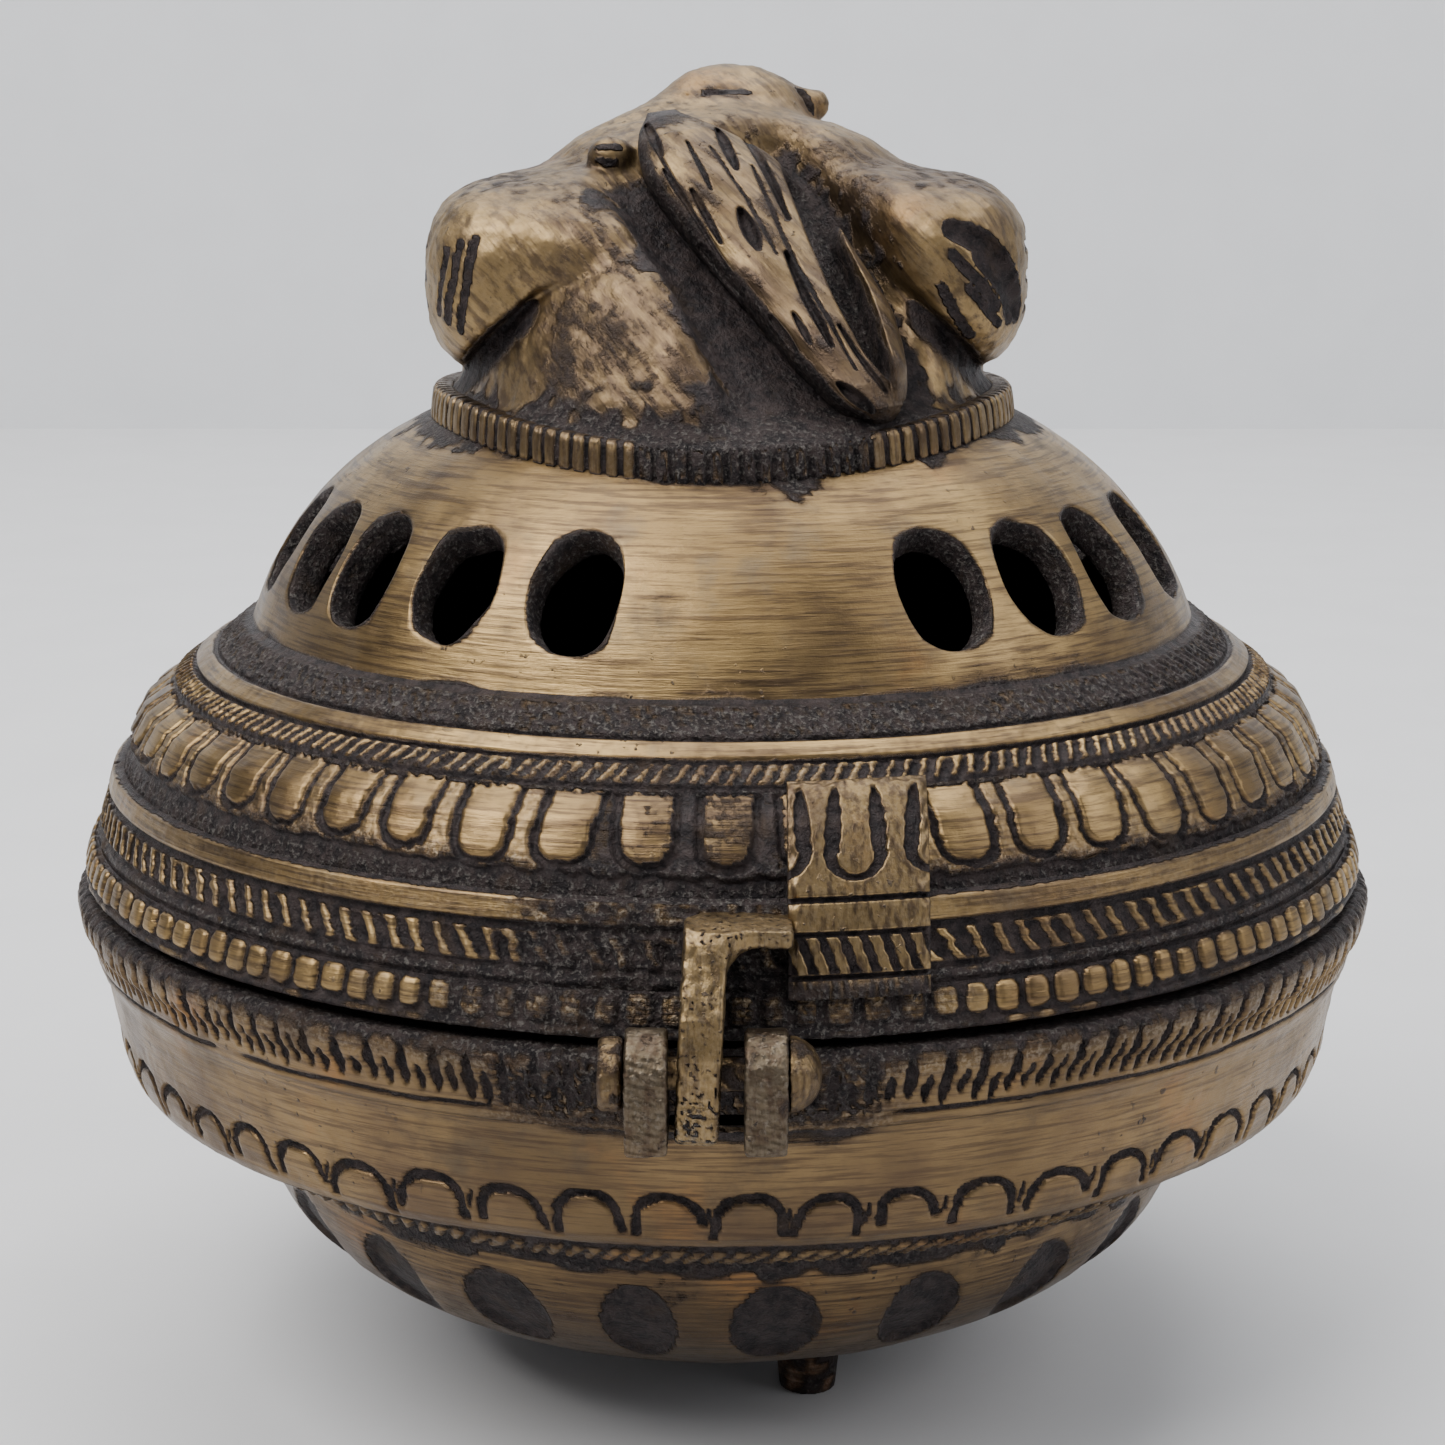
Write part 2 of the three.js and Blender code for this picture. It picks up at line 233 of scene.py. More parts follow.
def uneven(s, a, seed):
    """Slow and fast unevenness of hand work, in mm."""
    return 0.05 * grain(s, a, 5, 40, seed) + 0.025 * grain(s, a, 0.7, 420, seed + 1)


def raised(s, top, bottom, soft=0.3):
    """1 between two distances, with soft edges."""
    above, below = soft if isinstance(soft, tuple) else (soft, soft)
    return step(top, top + above, s) * step(bottom, bottom - below, s)


def notches(s, a, top, bottom, count, slant, seed, gap=(0.15, 0.27)):
    """How deep cuts across a row are, 0 to 1. slant is in teeth, from the row's top to its bottom."""
    t = (s - top) / (bottom - top)
    phase = a * count + slant * (t - 0.5) + 0.3 * round_grain(a, count // 5, seed)
    phase = phase + 0.1 * grain(s, a, 0.5, count * 2, seed + 5)
    part = phase - np.floor(phase)
    nearest = np.floor(phase).astype(int) + (part >= 0.5)
    half, deep, start, stop = (
        pick(nearest, count, seed + 1 + k, low, high)
        for k, (low, high) in enumerate((gap, (0.7, 1.0), (-0.12, 0.12), (0.88, 1.15)))
    )
    taper = step(start - 0.1, start + 0.3, t) * step(stop + 0.1, stop - 0.25, t)
    return step(half + 0.13, half - 0.06, np.minimum(part, 1 - part) * (1.35 - 0.35 * taper)) * deep * taper


def upper_bands(s, a):
    """Under the dome: a worn hatched ring, a bright fillet and a row of slanted teeth."""
    dull = facing(a, -9, 30, 14) * 0.8
    rough = grain(s, a, 0.35, 900, 11)
    hatch = raised(s, 0.7, 4.2, 0.5)
    faint = 0.35 + 0.65 * facing(a, 0, 25, 60)
    hatch_cut = notches(s, a, 1.2, 4.1, 212, -1.8, 12) * faint
    fillet = raised(s, 4.3, 6.3, 0.25)
    line = raised(s, 6.1, 6.5, 0.15) * step(-0.6, 0.1, round_grain(a, 30, 13))
    teeth = raised(s, 6.35, 8.6, 0.35)
    tooth_cut = notches(s, a, 6.4, 8.7, 226, 0.95, 14, (0.17, 0.3)) * (1 - 0.4 * dull)
    height = 0.1 + hatch * (0.28 - 0.2 * hatch_cut + 0.09 * rough)
    height = height + fillet * 0.5 + teeth * (0.46 - 0.55 * tooth_cut) - 0.3 * line
    height = height * raised(s, 0, 8.8, (0.5, 0.4)) + uneven(s, a, 15)
    patina_and_shade = 1 - 0.5 * hatch * (1 - 0.9 * hatch_cut) - fillet * (1 - line) - teeth * (1 - 1.15 * tooth_cut)
    patina_and_shade = patina_and_shade + 0.1 * rough * hatch + 0.25 * dull * teeth * (0.5 + rough) + 0.16 + 0.12 * rough
    return height, patina_and_shade, hatch * (1 - fillet) * (0.9 - 0.3 * faint) + dull * teeth * 0.6


PETALS = 54


def petal_band(s, a):
    """Upright tongues with round lower ends, each in a dark groove, with rough-ended spacers between."""
    rough = grain(s, a, 0.3, 1100, 27)
    ragged = 0.12 * grain(s, a, 0.45, 700, 21)
    drop = 0.75 * np.sin(2 * math.pi * a)
    row = Row(a * PETALS + 0.16 * round_grain(a, 27, 22) + 0.43, PETALS)
    half = row.each(24, 1.68, 1.98)
    centre = row.each(25, 6.15, 6.6) + drop - half
    x = row.x * (2 * math.pi * 49 / PETALS) + row.each(23, -0.09, 0.12) * (s - 4) + ragged
    y = s + ragged
    low_end = (np.abs(x) ** 2.4 + np.abs(y - centre) ** 2.4) ** (1 / 2.4) - half
    from_tongue = np.where(y < centre, np.abs(x) - half - 0.03 * (centre - y), low_end)
    groove = row.each(26, 0.3, 0.46) + 0.1 * np.sign(x * drop)
    end = 7.15 + drop + 0.25 * grain(0 * s, a, 1, 330, 29)
    spacer = step(groove - 0.1, groove + 0.13, from_tongue) * raised(s, 0.2, end, 0.4)
    rim = raised(s, 0.0, 0.75, 0.3)
    dull = facing(a, -2, 15, 4)
    tongue = step(0.07, -0.22, from_tongue) * step(0.3, 0.9, s + 0.3 * rough)
    height = tongue * (0.5 + 0.14 * (1 - (x / half) ** 2) * raised(s, 0.5, 7, 2))
    height = np.maximum.reduce([height, spacer * (0.46 + 0.06 * rough), rim * (0.42 + 0.1 * rough)])
    height = height * step(-0.1, 0.25, s) + 0.12 * rough * step(6.5, 7.5, s) + uneven(s, a, 28)
    tip = step(1.6, 0.2, end - s)
    bright = np.maximum(tongue, spacer * step(0.5, 1.0, s) * (0.95 - 0.45 * tip * (0.6 + 0.6 * rough)))
    patina_and_shade = 1 - 0.85 * bright - 0.4 * rim * (1 - bright) + 0.35 * dull * (1 - tongue)
    patina_and_shade = patina_and_shade + 0.3 * dull * (0.7 + 0.3 * rough)
    grit = rim * (1 - tongue) + spacer * (0.15 + 0.6 * tip) * (1 - tongue) + 0.7 * step(end, end + 0.5, s)
    return height, patina_and_shade, grit


def rope_band(s, a):
    """A bright fillet with a few cuts across it, a row of coarse slanted teeth and a thin wire."""
    dull = dull_side(a, 14, 5)
    rough = grain(s, a, 0.3, 1100, 31)
    crust = grain(s, a, 0.5, 520, 36)
    cut_at = azimuth_from(a * 9, 0) / 9 * (math.pi * 52 / 180)
    breaks = step(0.42, 0.15, np.abs(cut_at + 0.25 * (s - 1.2))) * (round_grain(a, 9, 32) > -0.2)
    fillet = raised(s, 0.15, 2.2) * (1 - 0.85 * breaks * facing(a, 0, 27, 30))
    teeth = raised(s, 2.45, 5.15, 0.35)
    cuts = notches(s, a, 2.4, 5.2, 170, -0.7, 33, (0.2, 0.3))
    wire = raised(s, 5.25, 6.3)
    wire_rough = 0.5 + 0.5 * grain(s, a, 0.4, 300, 34)
    height = fillet * 0.55 + teeth * (0.5 - 0.55 * cuts) + wire * (0.2 + 0.25 * wire_rough)
    height = height * (1 - 0.15 * dull) + dull * (0.1 * rough + 0.16 * crust) + uneven(s, a, 35)
    glint = 1 - dull * (0.55 - 0.3 * rough - 0.5 * crust)
    bright = np.clip((fillet + teeth * (1 - 1.15 * cuts)) * glint, 0, 1)
    bright = np.maximum(bright, wire * wire_rough * 0.62 * (1 - 0.7 * dull))
    return height * step(-0.2, 0.15, s), 1.12 - bright + 0.2 * rough, dull * 0.9 + wire * 0.7 + 0.12


BEADS = 143


def bead_band(s, a):
    """Rounded blocks above the lid's thin uneven lip."""
    dull = dull_side(a, 21, 18)
    rough = grain(s, a, 0.3, 1200, 41)
    row = Row(a * BEADS + 0.22 * round_grain(a, 47, 42), BEADS)
    wide = row.each(43, 0.88, 1.03) * (1 - 0.08 * dull)
    x = row.x * (2 * math.pi * 54.4 / BEADS) / wide + 0.07 * rough
    y = (s - 1.32 + row.each(45, -0.1, 0.12)) / row.each(44, 1.0, 1.2) + 0.05 * rough
    bead = np.clip(1 - (np.abs(x) ** 4 + np.abs(y) ** 4), 0, 1) ** 0.3
    lip = raised(s, 2.55, 3.35)
    lip_wave = 0.5 + 0.5 * grain(0 * s, a, 1, 260, 46)
    height = bead * 0.62 * (1 - 0.35 * dull) + lip * (0.1 + 0.22 * lip_wave) + 0.06 * rough * dull
    height = height * raised(s, -0.2, 3.9, (0.35, 0.5)) + uneven(s, a, 47)
    bright = bead * (1 - 0.55 * dull * (0.9 - 0.6 * rough)) + lip * lip_wave * 0.75 * (1 - 0.5 * dull)
    return height, 1 - np.clip(bright * 1.15, 0, 1) + 0.1 * rough, dull * 0.8 + 0.3 * lip


KNOBS = 131


def rim_band(s, a):
    """The bowl's rim: blunt knobs on the edge, two spindle nicks under each and a scribed line."""
    dull = dull_side(a, 16, 13)
    fade = 1 - 0.4 * dull
    rough = grain(s, a, 0.3, 1200, 51)
    lean = 0.13 * step(5, 40, azimuth_from(a, 0)) * (s - 5.2)
    phase = a * KNOBS + 0.2 * round_grain(a, 43, 52) + lean
    row = Row(phase, KNOBS)
    knob = np.clip(1 - np.abs(2 * row.x) ** 3, 0, 1) ** 0.5 * raised(s, 1.7, 5.2, 0.9) * row.each(53, 0.7, 1.0)
    nicks = Row(2 * phase + 0.5, 2 * KNOBS)
    main = nicks.index % 2 == 0
    top = nicks.each(55, 3.4, 4.2) - 0.9 * main
    t = np.clip((s - top) / (nicks.each(56, 5.9, 6.8) - top), 0, 1)
    half = (0.25 + 0.08 * main) * np.sin(math.pi * t) ** 0.7
    cuts = step(half + 0.1, half - 0.08, np.abs(nicks.x + 0.05 * grain(s, a, 0.5, 500, 59))) * (t > 0) * (t < 1)
    line_at = 7.0 + 0.12 * grain(0 * s, a, 1, 60, 60)
    line = step(0.24, 0.1, np.abs(s - line_at)) * step(-0.95, -0.6, round_grain(a, 50, 57)) * (1 - dull)
    height = 0.3 + 0.36 * knob * fade - 0.5 * cuts * fade - 0.25 * line + 0.06 * rough * raised(s, 1, 4.2, 1)
    height = (height + 0.12 * dull * rough) * raised(s, 0, 8.6, (1.0, 0.7)) + uneven(s, a, 58)
    patina_and_shade = step(3.4, 2.4, s) * (0.95 - 0.45 * knob) + step(2.2, 1.4, s) + 0.4 * step(4.6, 3.4, s) * (1 - knob)
    patina_and_shade = patina_and_shade + cuts * 1.15 + line + 0.12 * rough
    patina_and_shade = np.maximum(patina_and_shade, dull * step(9.4, 6.6, s + 0.9 * rough) * (0.62 + 0.4 * rough))
    return height, patina_and_shade, step(4.2, 3.0, s) * 0.7 * (1 - 0.4 * knob) + 0.55 * dull


ARCHES = 56


def arcade_band(s, a):
    """The bowl's hollow band, with engraved arches along the ledge and a short slit between most of them."""
    pitch = 2 * math.pi * 52.2 / ARCHES
    ragged = 0.08 * grain(s, a, 0.4, 800, 61)
    phase = a * ARCHES + 0.1 * round_grain(a, 21, 62) + 0.2
    row = Row(phase, ARCHES)
    half = row.each(64, 2.0, 2.45)
    centre = row.each(65, 6.6, 7.1) + half
    foot = row.each(66, 9.6, 10.5)
    x = row.x * pitch + row.each(63, -0.16, 0.16) * (s - 8) + ragged
    x = x / (1 + 0.05 * np.maximum(0, s - 8.5))
    y = s + ragged
    crown = (np.abs(x) ** 2.3 + np.abs((y - centre) * 1.05) ** 2.3) ** (1 / 2.3) - half
    from_arch = np.where(y > centre, np.abs(x) - half, crown)
    leg = np.where(x < 0, foot, foot - row.each(67, -0.5, 1.3))
    thick = 0.3 + 0.1 * grain(s, a, 1.1, 260, 68)
    line = step(thick + 0.12, thick - 0.1, np.abs(from_arch)) * step(leg + 0.2, leg - 0.3, s)
    nearest = np.round(phase)
    t = np.clip((s - 7.4) / 1.7, 0, 1)
    slit = step(0.26 * np.sin(math.pi * t) + 0.06, 0.0, np.abs((phase - nearest) * pitch + 0.2 * (s - 8)))
    slit = slit * (t > 0) * (t < 1) * (pick(nearest.astype(int), ARCHES, 69) > 0.35)
    cuts = np.maximum(line, slit)
    height = (0.25 - 0.42 * cuts + uneven(s, a, 70)) * raised(s, 0, 12.4, (0.7, 1.2))
    dull = dull_side(a, 12, 12) * step(3.2, 0.5, s + 0.6 * grain(s, a, 1.2, 120, 71))
    film = 0.22 * facing(a, -3, 34, 4) * (0.8 + 0.4 * grain(s, a, 3, 40, 72))
    patina_and_shade = np.maximum(cuts * 1.1 + 0.9 * step(10.6, 11.6, s) + dull, film)
    return height, patina_and_shade, 0.3 * dull + 0.3 * step(11, 12, s)


def under_rope(s, a):
    """Under the ledge: a smooth strip, then a fine slanted rope, then a dark crease."""
    rough = grain(s, a, 0.3, 900, 81)
    rope = raised(s, 4.9, 8.0, 0.7)
    cuts = notches(s, a, 5.0, 8.0, 190, 1.2, 82)
    height = (0.12 + rope * (0.75 - 0.5 * cuts) + 0.04 * rough) * raised(s, 0, 10.8, (0.5, 1.2))
    return height, 1 - rope * (0.95 - 0.9 * cuts) - 0.3 * raised(s, 0.5, 4, 1) + 0.1 * rough, 0.3 * (1 - rope)


# ---------------------------------------------------------------- the bowl


def lower_bowl(r, top, bottom, power, count):
    """[r, z] of a full round bowl, from its edge down to the axis."""
    angle = np.linspace(0, math.pi / 2, count)
    across = r * np.cos(angle) ** (2 / power)
    across[-1] = 0
    down = top - (top - bottom) * np.sin(angle) ** (2 / power)
    return np.stack([across, down], 1)


BLIND_OVALS = 22
AXIS_HOLE = 0.02  # radius of the pinhole that closed surfaces keep on the axis


def bowl_outside(s, a, z):
    """Height, patina and grit of the lower bowl, with its row of shallow dark ovals."""
    phase = (a * 360 - 6.9) / (360 / BLIND_OVALS) + 0.08 * round_grain(a, 22, 91)
    row = Row(phase + 0.5, BLIND_OVALS)
    x = row.x * (2 * math.pi * 38.8 / BLIND_OVALS) / row.each(92, 2.85, 3.25)
    inside = np.hypot(x, (z - 14.7) * 1.35 / row.each(93, 5.2, 5.8)) + 0.04 * grain(s, a, 0.8, 300, 94)
    oval = step(1.06, 0.86, inside)
    height = 0.03 * grain(s, a, 0.5, 600, 95) * oval - 0.55 * oval
    height = height + 0.06 * grain(s, a, 6, 36, 96) + 0.02 * grain(s, a, 1, 300, 97)
    crease = step(19.6, 20.6, z + 0.7 * grain(s, a, 1.2, 150, 98))
    # The whole bowl has some patina; towards its underside it is darker, partly patina and partly painted shade of the
    # lower, less lit parts.
    underneath = 0.3 + step(9, 3.5, z) * (0.15 + 0.25 * grain(s, a, 4, 30, 99))
    patina_and_shade = np.maximum.reduce([step(1.12, 0.95, inside), crease * 0.95, underneath])
    return height, patina_and_shade, 0.25 * oval + 0.4 * crease


BOWL_HOLLOW = ((42.5, 25.4), (47.6, 28.0), (49.2, 30.4), (49.2, 44.6), (49.5, 45.0), (50.7, 45.0), (51.0, 44.7))
BOWL_WALL = ((51.0, 42.3), (52.9, 42.25), (53.4, 41.9), (53.2, 40.8), (52.2, 36.5), (51.2, 29.4), (49.8, 27.8))
BOWL_WALL += ((45.6, 26.0), (42.0, 23.4))


def bowl(material):
    """The bowl's body: its round underside, the wall behind the bands, the inner lip and the hollow."""
    r, z, nr, nz, s = walk(lower_bowl(41.0, 22.3, 2.6, 2.2, 260), 96)
    a = around(30 * BLIND_OVALS)
    height, patina_and_shade, grit = bowl_outside(s[:, None], a, z[:, None])
    height = height * raised(s, 0, s[-1], (1.2, 3))[:, None]
    inner = lower_bowl(38.5, 22.3, 5.3, 2.2, 26)[::-1]
    rest = np.concatenate([inner, BOWL_HOLLOW, BOWL_WALL])
    outer_r = np.maximum(r[:, None] + nr[:, None] * height, AXIS_HOLE)
    outside = placed(outer_r, z[:, None] + nz[:, None] * height, a)
    points = np.concatenate([outside, placed(np.maximum(rest[:, :1], AXIS_HOLE), rest[:, 1:], a)])
    dark = np.full((len(rest), a.size), 0.85)
    dark[len(inner) + 2 : len(inner) + 8] = 0.25  # the lip, worn bright by the lid
    patina_and_shade = np.concatenate([patina_and_shade, dark])
    grit = np.concatenate([np.broadcast_to(grit, height.shape), np.full(dark.shape, 0.5)])
    faces = grid_faces(len(points), a.size, True)
    mesh_object("bowl_body", with_seats(points), faces, patina_and_shade, grit, BOWL_BODY, material, "bowl")


RIM = ((52.2, 42.2), (54.3, 42.25), (54.75, 41.7), (54.65, 40.6), (54.0, 38.4), (53.65, 37.0), (53.4, 36.6))
ARCADE = ((53.8, 37.6), (53.0, 35.7), (52.6, 33.3), (52.2, 31.1), (52.05, 29.4), (51.5, 27.8))
ARCADE += ((50.9, 27.0), (50.0, 26.7))
UNDER_ROPE = ((50.9, 27.0), (46.8, 25.4), (46.0, 24.7), (43.4, 22.7), (42.2, 22.0), (40.4, 21.9))


def bowl_bands(material):
    ring("bowl_rim_band", RIM, 46, 12 * KNOBS, rim_band, 1.2, BOWL_BODY, material)
    ring("bowl_arcade_band", ARCADE, 64, 1372, arcade_band, 1.2, BOWL_BODY, material)
    ring("bowl_under_rope", UNDER_ROPE, 36, 1284, under_rope, 1.0, BOWL_BODY, material)


# ---------------------------------------------------------------- the lid


def bezier(points, t):
    """Points [r, z] of a curve through the first and last of three points, drawn towards the middle one."""
    t = np.asarray(t, float)[..., None]
    p0, p1, p2 = np.array(points)
    return (1 - t) ** 2 * p0 + 2 * t * (1 - t) * p1 + t * t * p2


SMOKE_HOLES = 22
FIRST_HOLE = 26.8  # degrees
HOLE_PITCH = 15.03
HOLE_SHIFTS = {1: -0.4, 2: -1.4, 3: 0.5, 18: 0.6, 19: -1.4, 20: -0.8}  # degrees, for those that stray most
CELL = (0.3265, 0.9265)  # a hole's cell along the dome's arc, 0 at the collar and 1 at the crease
CELL_COLUMNS = 14
CELL_ROWS = 18
GAP_COLUMNS = 28  # over the hinge, where there is no hole


def dome_point(t, turn, depth):
    """A point of the dome: t down its arc, turn round it, depth from 0 outside to 1 inside."""
    outer = bezier(DOME, t)
    at = outer + (bezier(DOME_INSIDE, t) - outer) * np.asarray(depth)[..., None]
    down = np.asarray(t) * 18  # about the arc's length
    swell = 0.12 * grain(down, turn, 6, 24, 101) + 0.03 * grain(down, turn, 1.2, 150, 102)
    at = at + (0.7 * swell * raised(t, 0, 1, 0.1))[..., None]
    return placed(at[..., 0], at[..., 1], turn)


class Shell:
    """Collects sheets of points and quads, then joins what coincides into one piece."""

    def __init__(self):
        self.sheets = []
        self.total = 0

    def sheet(self, points, patina_and_shade, grit, close_columns=False, flip=False):
        shape = points.shape[:2]
        faces = grid_faces(*shape, False, close_columns) + self.total
        marks = [np.broadcast_to(m, shape).ravel() for m in (patina_and_shade, grit)]
        self.sheets.append((points.reshape(-1, 3), *marks, faces[:, ::-1] if flip else faces))
        self.total += shape[0] * shape[1]

    def leaf(self, front, back, marks, back_marks, edge_marks):
        """Two sheets back to back, closed by strips along their four edges."""
        self.sheet(front, *marks)
        self.sheet(back, *back_marks, flip=True)
        for end in (0, -1):
            self.sheet(np.stack([front[:, end], back[:, end]], 1), *edge_marks, flip=end == 0)
        for end in (0, -1):
            self.sheet(np.stack([front[end], back[end]]), *edge_marks, flip=end == 0)

    def make(self, name, body, material, *nodes):
        points, patina_and_shade, grit, faces = (np.concatenate(part) for part in zip(*self.sheets))
        keys = np.round(points * 2000).astype(np.int64)  # points within half a micron are one
        _, first, inverse = np.unique(keys, axis=0, return_index=True, return_inverse=True)
        faces = inverse.ravel()[faces]
        mesh_object(name, points[first], faces, patina_and_shade[first], grit[first], body, material, *nodes)


def dome_marks(t, turn):
    """Patina and grit of the dome: golden, darker at its crease, at the collar and under the solder."""
    wave = grain(np.asarray(t) * 20, turn, 2.2, 60, 111)
    ripple = grain(np.asarray(t) * 20, turn, 0.7, 220, 113)
    crease = step(0.945, 0.985, t + 0.02 * wave)
    stain = 0.42 * step(0.87, 0.97, t + 0.04 * wave + 0.015 * ripple) * step(0.0, 0.5, round_grain(turn, 17, 112))
    reach = 0.05 + 0.1 * facing(turn, 9, 34, 18) * (1 + 0.7 * round_grain(turn, 37, 114))
    top = 0.95 * step(reach + 0.05, reach - 0.03, t + 0.05 * wave + 0.03 * ripple)
    under_solder = step(0.42, 0.1, t + 0.1 * wave) * step(26, 6, np.abs(azimuth_from(turn, 4) + 8 * wave))
    film = 0.08 + 0.2 * wave + 0.08 * ripple + 0.3 * under_solder
    return np.maximum.reduce([crease, stain, top, film]), np.maximum(0.6 * crease, 0.7 * top)


# A hole's edge: the share of the way to its cell's edge, and the depth into the wall.
BEVEL = ((0.19, 0.0), (0.13, 0.01), (0.08, 0.05), (0.03, 0.14), (0.0, 0.27))
HOLE_FACE = tuple((share, 0.0) for share in (1.0, 0.86, 0.7, 0.54, 0.38, 0.26)) + BEVEL
# A hole's wall: the depth, and how much the opening narrows there.
HOLE_WALL = ((0.34, 0.005), (0.5, 0.02), (0.66, 0.03), (0.82, 0.03), (0.95, 0.01), (1.0, -0.02))


def smoke_hole(shell, k):
    """One cell of the dome with its opening: outside, bevelled edge, rough wall and inside."""
    random = np.random.default_rng(500 + k)
    shift = HOLE_SHIFTS.get(k, random.uniform(-0.5, 0.5)) / (HOLE_PITCH / 2)
    half = (0.79 * random.uniform(0.94, 1.05), 0.72 * random.uniform(0.95, 1.03))
    tilt = random.uniform(-0.1, 0.1)
    across = np.linspace(-1, 1, CELL_COLUMNS + 1)
    down = np.linspace(-1, 1, CELL_ROWS + 1)
    edge_x = np.concatenate([across[:-1], np.ones(CELL_ROWS), across[:0:-1], -np.ones(CELL_ROWS)])
    edge_y = np.concatenate([-np.ones(CELL_COLUMNS), down[:-1], np.ones(CELL_COLUMNS), down[:0:-1]])
    angle = np.arctan2(edge_y / half[1], edge_x / half[0])
    waves = (2, 3, 4, 5, 7)
    wobble = sum(random.uniform(-0.028, 0.028) * np.cos(n * angle + random.uniform(0, 6)) for n in waves)
    hole_x = half[0] * (1 + wobble) * np.cos(angle) * 0.97 + shift + tilt * half[1] * np.sin(angle)
    hole_y = half[1] * (1 + wobble) * np.sin(angle)
    centre = (FIRST_HOLE + HOLE_PITCH * k) / 360
    reach = (CELL[1] - CELL[0]) / 2
    lines = []

    def add(x, y, depth, patina_and_shade, grit, outside=False):
        """A closed line round the hole, which outside keeps the dome's own marks too."""
        at = ((CELL[0] + CELL[1]) / 2 + y * reach, centre + x * HOLE_PITCH / 720)
        own = dome_marks(*at) if outside else (0 * x, 0 * x)
        lines.append((dome_point(*at, np.full(x.shape, depth)), np.maximum(own[0], patina_and_shade), np.maximum(own[1], grit)))

    def between(share):
        return hole_x + (edge_x - hole_x) * share, hole_y + (edge_y - hole_y) * share

    for share, depth in HOLE_FACE:
        worn = step(-0.01, 0.12, depth)
        halo = 0.55 * step(0.3, 0.12, share) * (0.7 + 0.6 * np.sin(angle * 2 + 7 * wobble))
        add(*between(share), depth, np.maximum(halo, worn * 0.95), worn, outside=True)
    for depth, narrow in HOLE_WALL:
        rough = 1 - narrow + random.uniform(-0.018, 0.018, hole_x.shape)
        add(shift + (hole_x - shift) * rough, hole_y * rough, depth, 0.72, 1.0)
    for share in (0.08, 0.3, 0.65, 1.0):
        add(*between(share), 1.0, 0.95, 0.5)
    shell.sheet(*(np.array(part) for part in zip(*lines)), close_columns=True)


LID_CROWN = ((AXIS_HOLE, 83.5), (6, 83.45), (13, 83.1), (20, 82.3), DOME[0])
LID_UNDER_CROWN = (DOME_INSIDE[0], (19, 79.6), (12, 80.5), (5, 80.9), (AXIS_HOLE, 81.0))
LID_WALL = (DOME[2], (39.6, 63.0), (40.4, 61.6), (45.0, 58.6), (48.4, 55.6), (50.0, 52.4), (51.9, 47.0), (52.9, 44.4))
LID_WALL += ((52.95, 43.5), (52.6, 43.2), (51.9, 43.15), (51.7, 43.5), (51.5, 46.0), (49.4, 51.0), (46.6, 55.4))
LID_WALL += ((42.5, 59.0), (39.2, 61.0), DOME_INSIDE[2])


def lid(material):
    """The lid's body: crown, pierced dome, and the wall behind the bands down to the lip."""
    shell = Shell()
    start = FIRST_HOLE - HOLE_PITCH / 2
    end = (FIRST_HOLE + HOLE_PITCH * (SMOKE_HOLES - 1) + HOLE_PITCH / 2) / 360
    cells = [(start + HOLE_PITCH * i / CELL_COLUMNS) / 360 for i in range(SMOKE_HOLES * CELL_COLUMNS)]
    gap = end + (1 + start / 360 - end) * np.arange(GAP_COLUMNS + 1) / GAP_COLUMNS
    turns = np.concatenate([cells, gap[:-1]])
    cell_t = np.linspace(*CELL, CELL_ROWS + 1)
    above = np.linspace(0, CELL[0], 14)
    below = np.linspace(CELL[1], 1, 6)
    for inside in (False, True):
        for t, at, closed in ((above, turns, True), (below, turns, True), (cell_t, gap, False)):
            t, at = np.meshgrid(t, at, indexing="ij")
            marks = (0.95, 0.5) if inside else dome_marks(t, at)
            points = dome_point(t, at, np.full(t.shape, float(inside)))
            shell.sheet(points, *marks, close_columns=closed, flip=inside)
    for k in range(SMOKE_HOLES):
        smoke_hole(shell, k)
    for path, patina_and_shade in ((LID_CROWN, 0.9), (LID_UNDER_CROWN, 0.95), (LID_WALL, 0.9)):
        path = np.array(path)
        shell.sheet(placed(path[:, :1], path[:, 1:], turns[None]), patina_and_shade, 0.5, close_columns=True)
    shell.make("lid_dome", LID_BODY, material, "lid")


UPPER = ((39.7, 64.5), (43.0, 61.7), (44.8, 60.4), (46.7, 59.1))
PETAL_SKIRT = ((46.1, 59.1), (48.7, 57.2), (49.9, 55.1), (50.6, 53.6), (51.0, 52.5), (51.2, 51.8))
ROPE = ((51.3, 52.7), (52.0, 50.4), (52.9, 47.6), (53.3, 46.4))
BEAD_EDGE = ((53.4, 46.6), (54.2, 44.0), (54.3, 43.4), (52.3, 43.15))


def lid_bands(material):
    ring("lid_upper_bands", UPPER, 54, 1512, upper_bands, 1.1, LID_BODY, material)
    ring("lid_petal_band", PETAL_SKIRT, 56, PETALS * 28, petal_band, 1.1, LID_BODY, material)
    ring("lid_rope_band", ROPE, 44, 1360, rope_band, 1.1, LID_BODY, material)
    ring("lid_bead_band", BEAD_EDGE, 40, BEADS * 10, bead_band, 0.6, LID_BODY, material)


def dome_height(r):
    """Height of the dome's outside at a radius, with the crown."""
    arc = bezier(DOME, np.linspace(0, 1, 40))
    radii = np.concatenate([[0, 13], arc[:, 0]])
    heights = np.concatenate([[83.5, 83.1], arc[:, 1]])
    return np.interp(r, radii, heights)


COLLAR_TEETH = 116
FIRST_FOOT = 23  # degrees
FOOT_REACH = 18.5


def squared(v, power):
    """The same sign, with its size raised to a power."""
    return np.sign(v) * np.abs(v) ** power


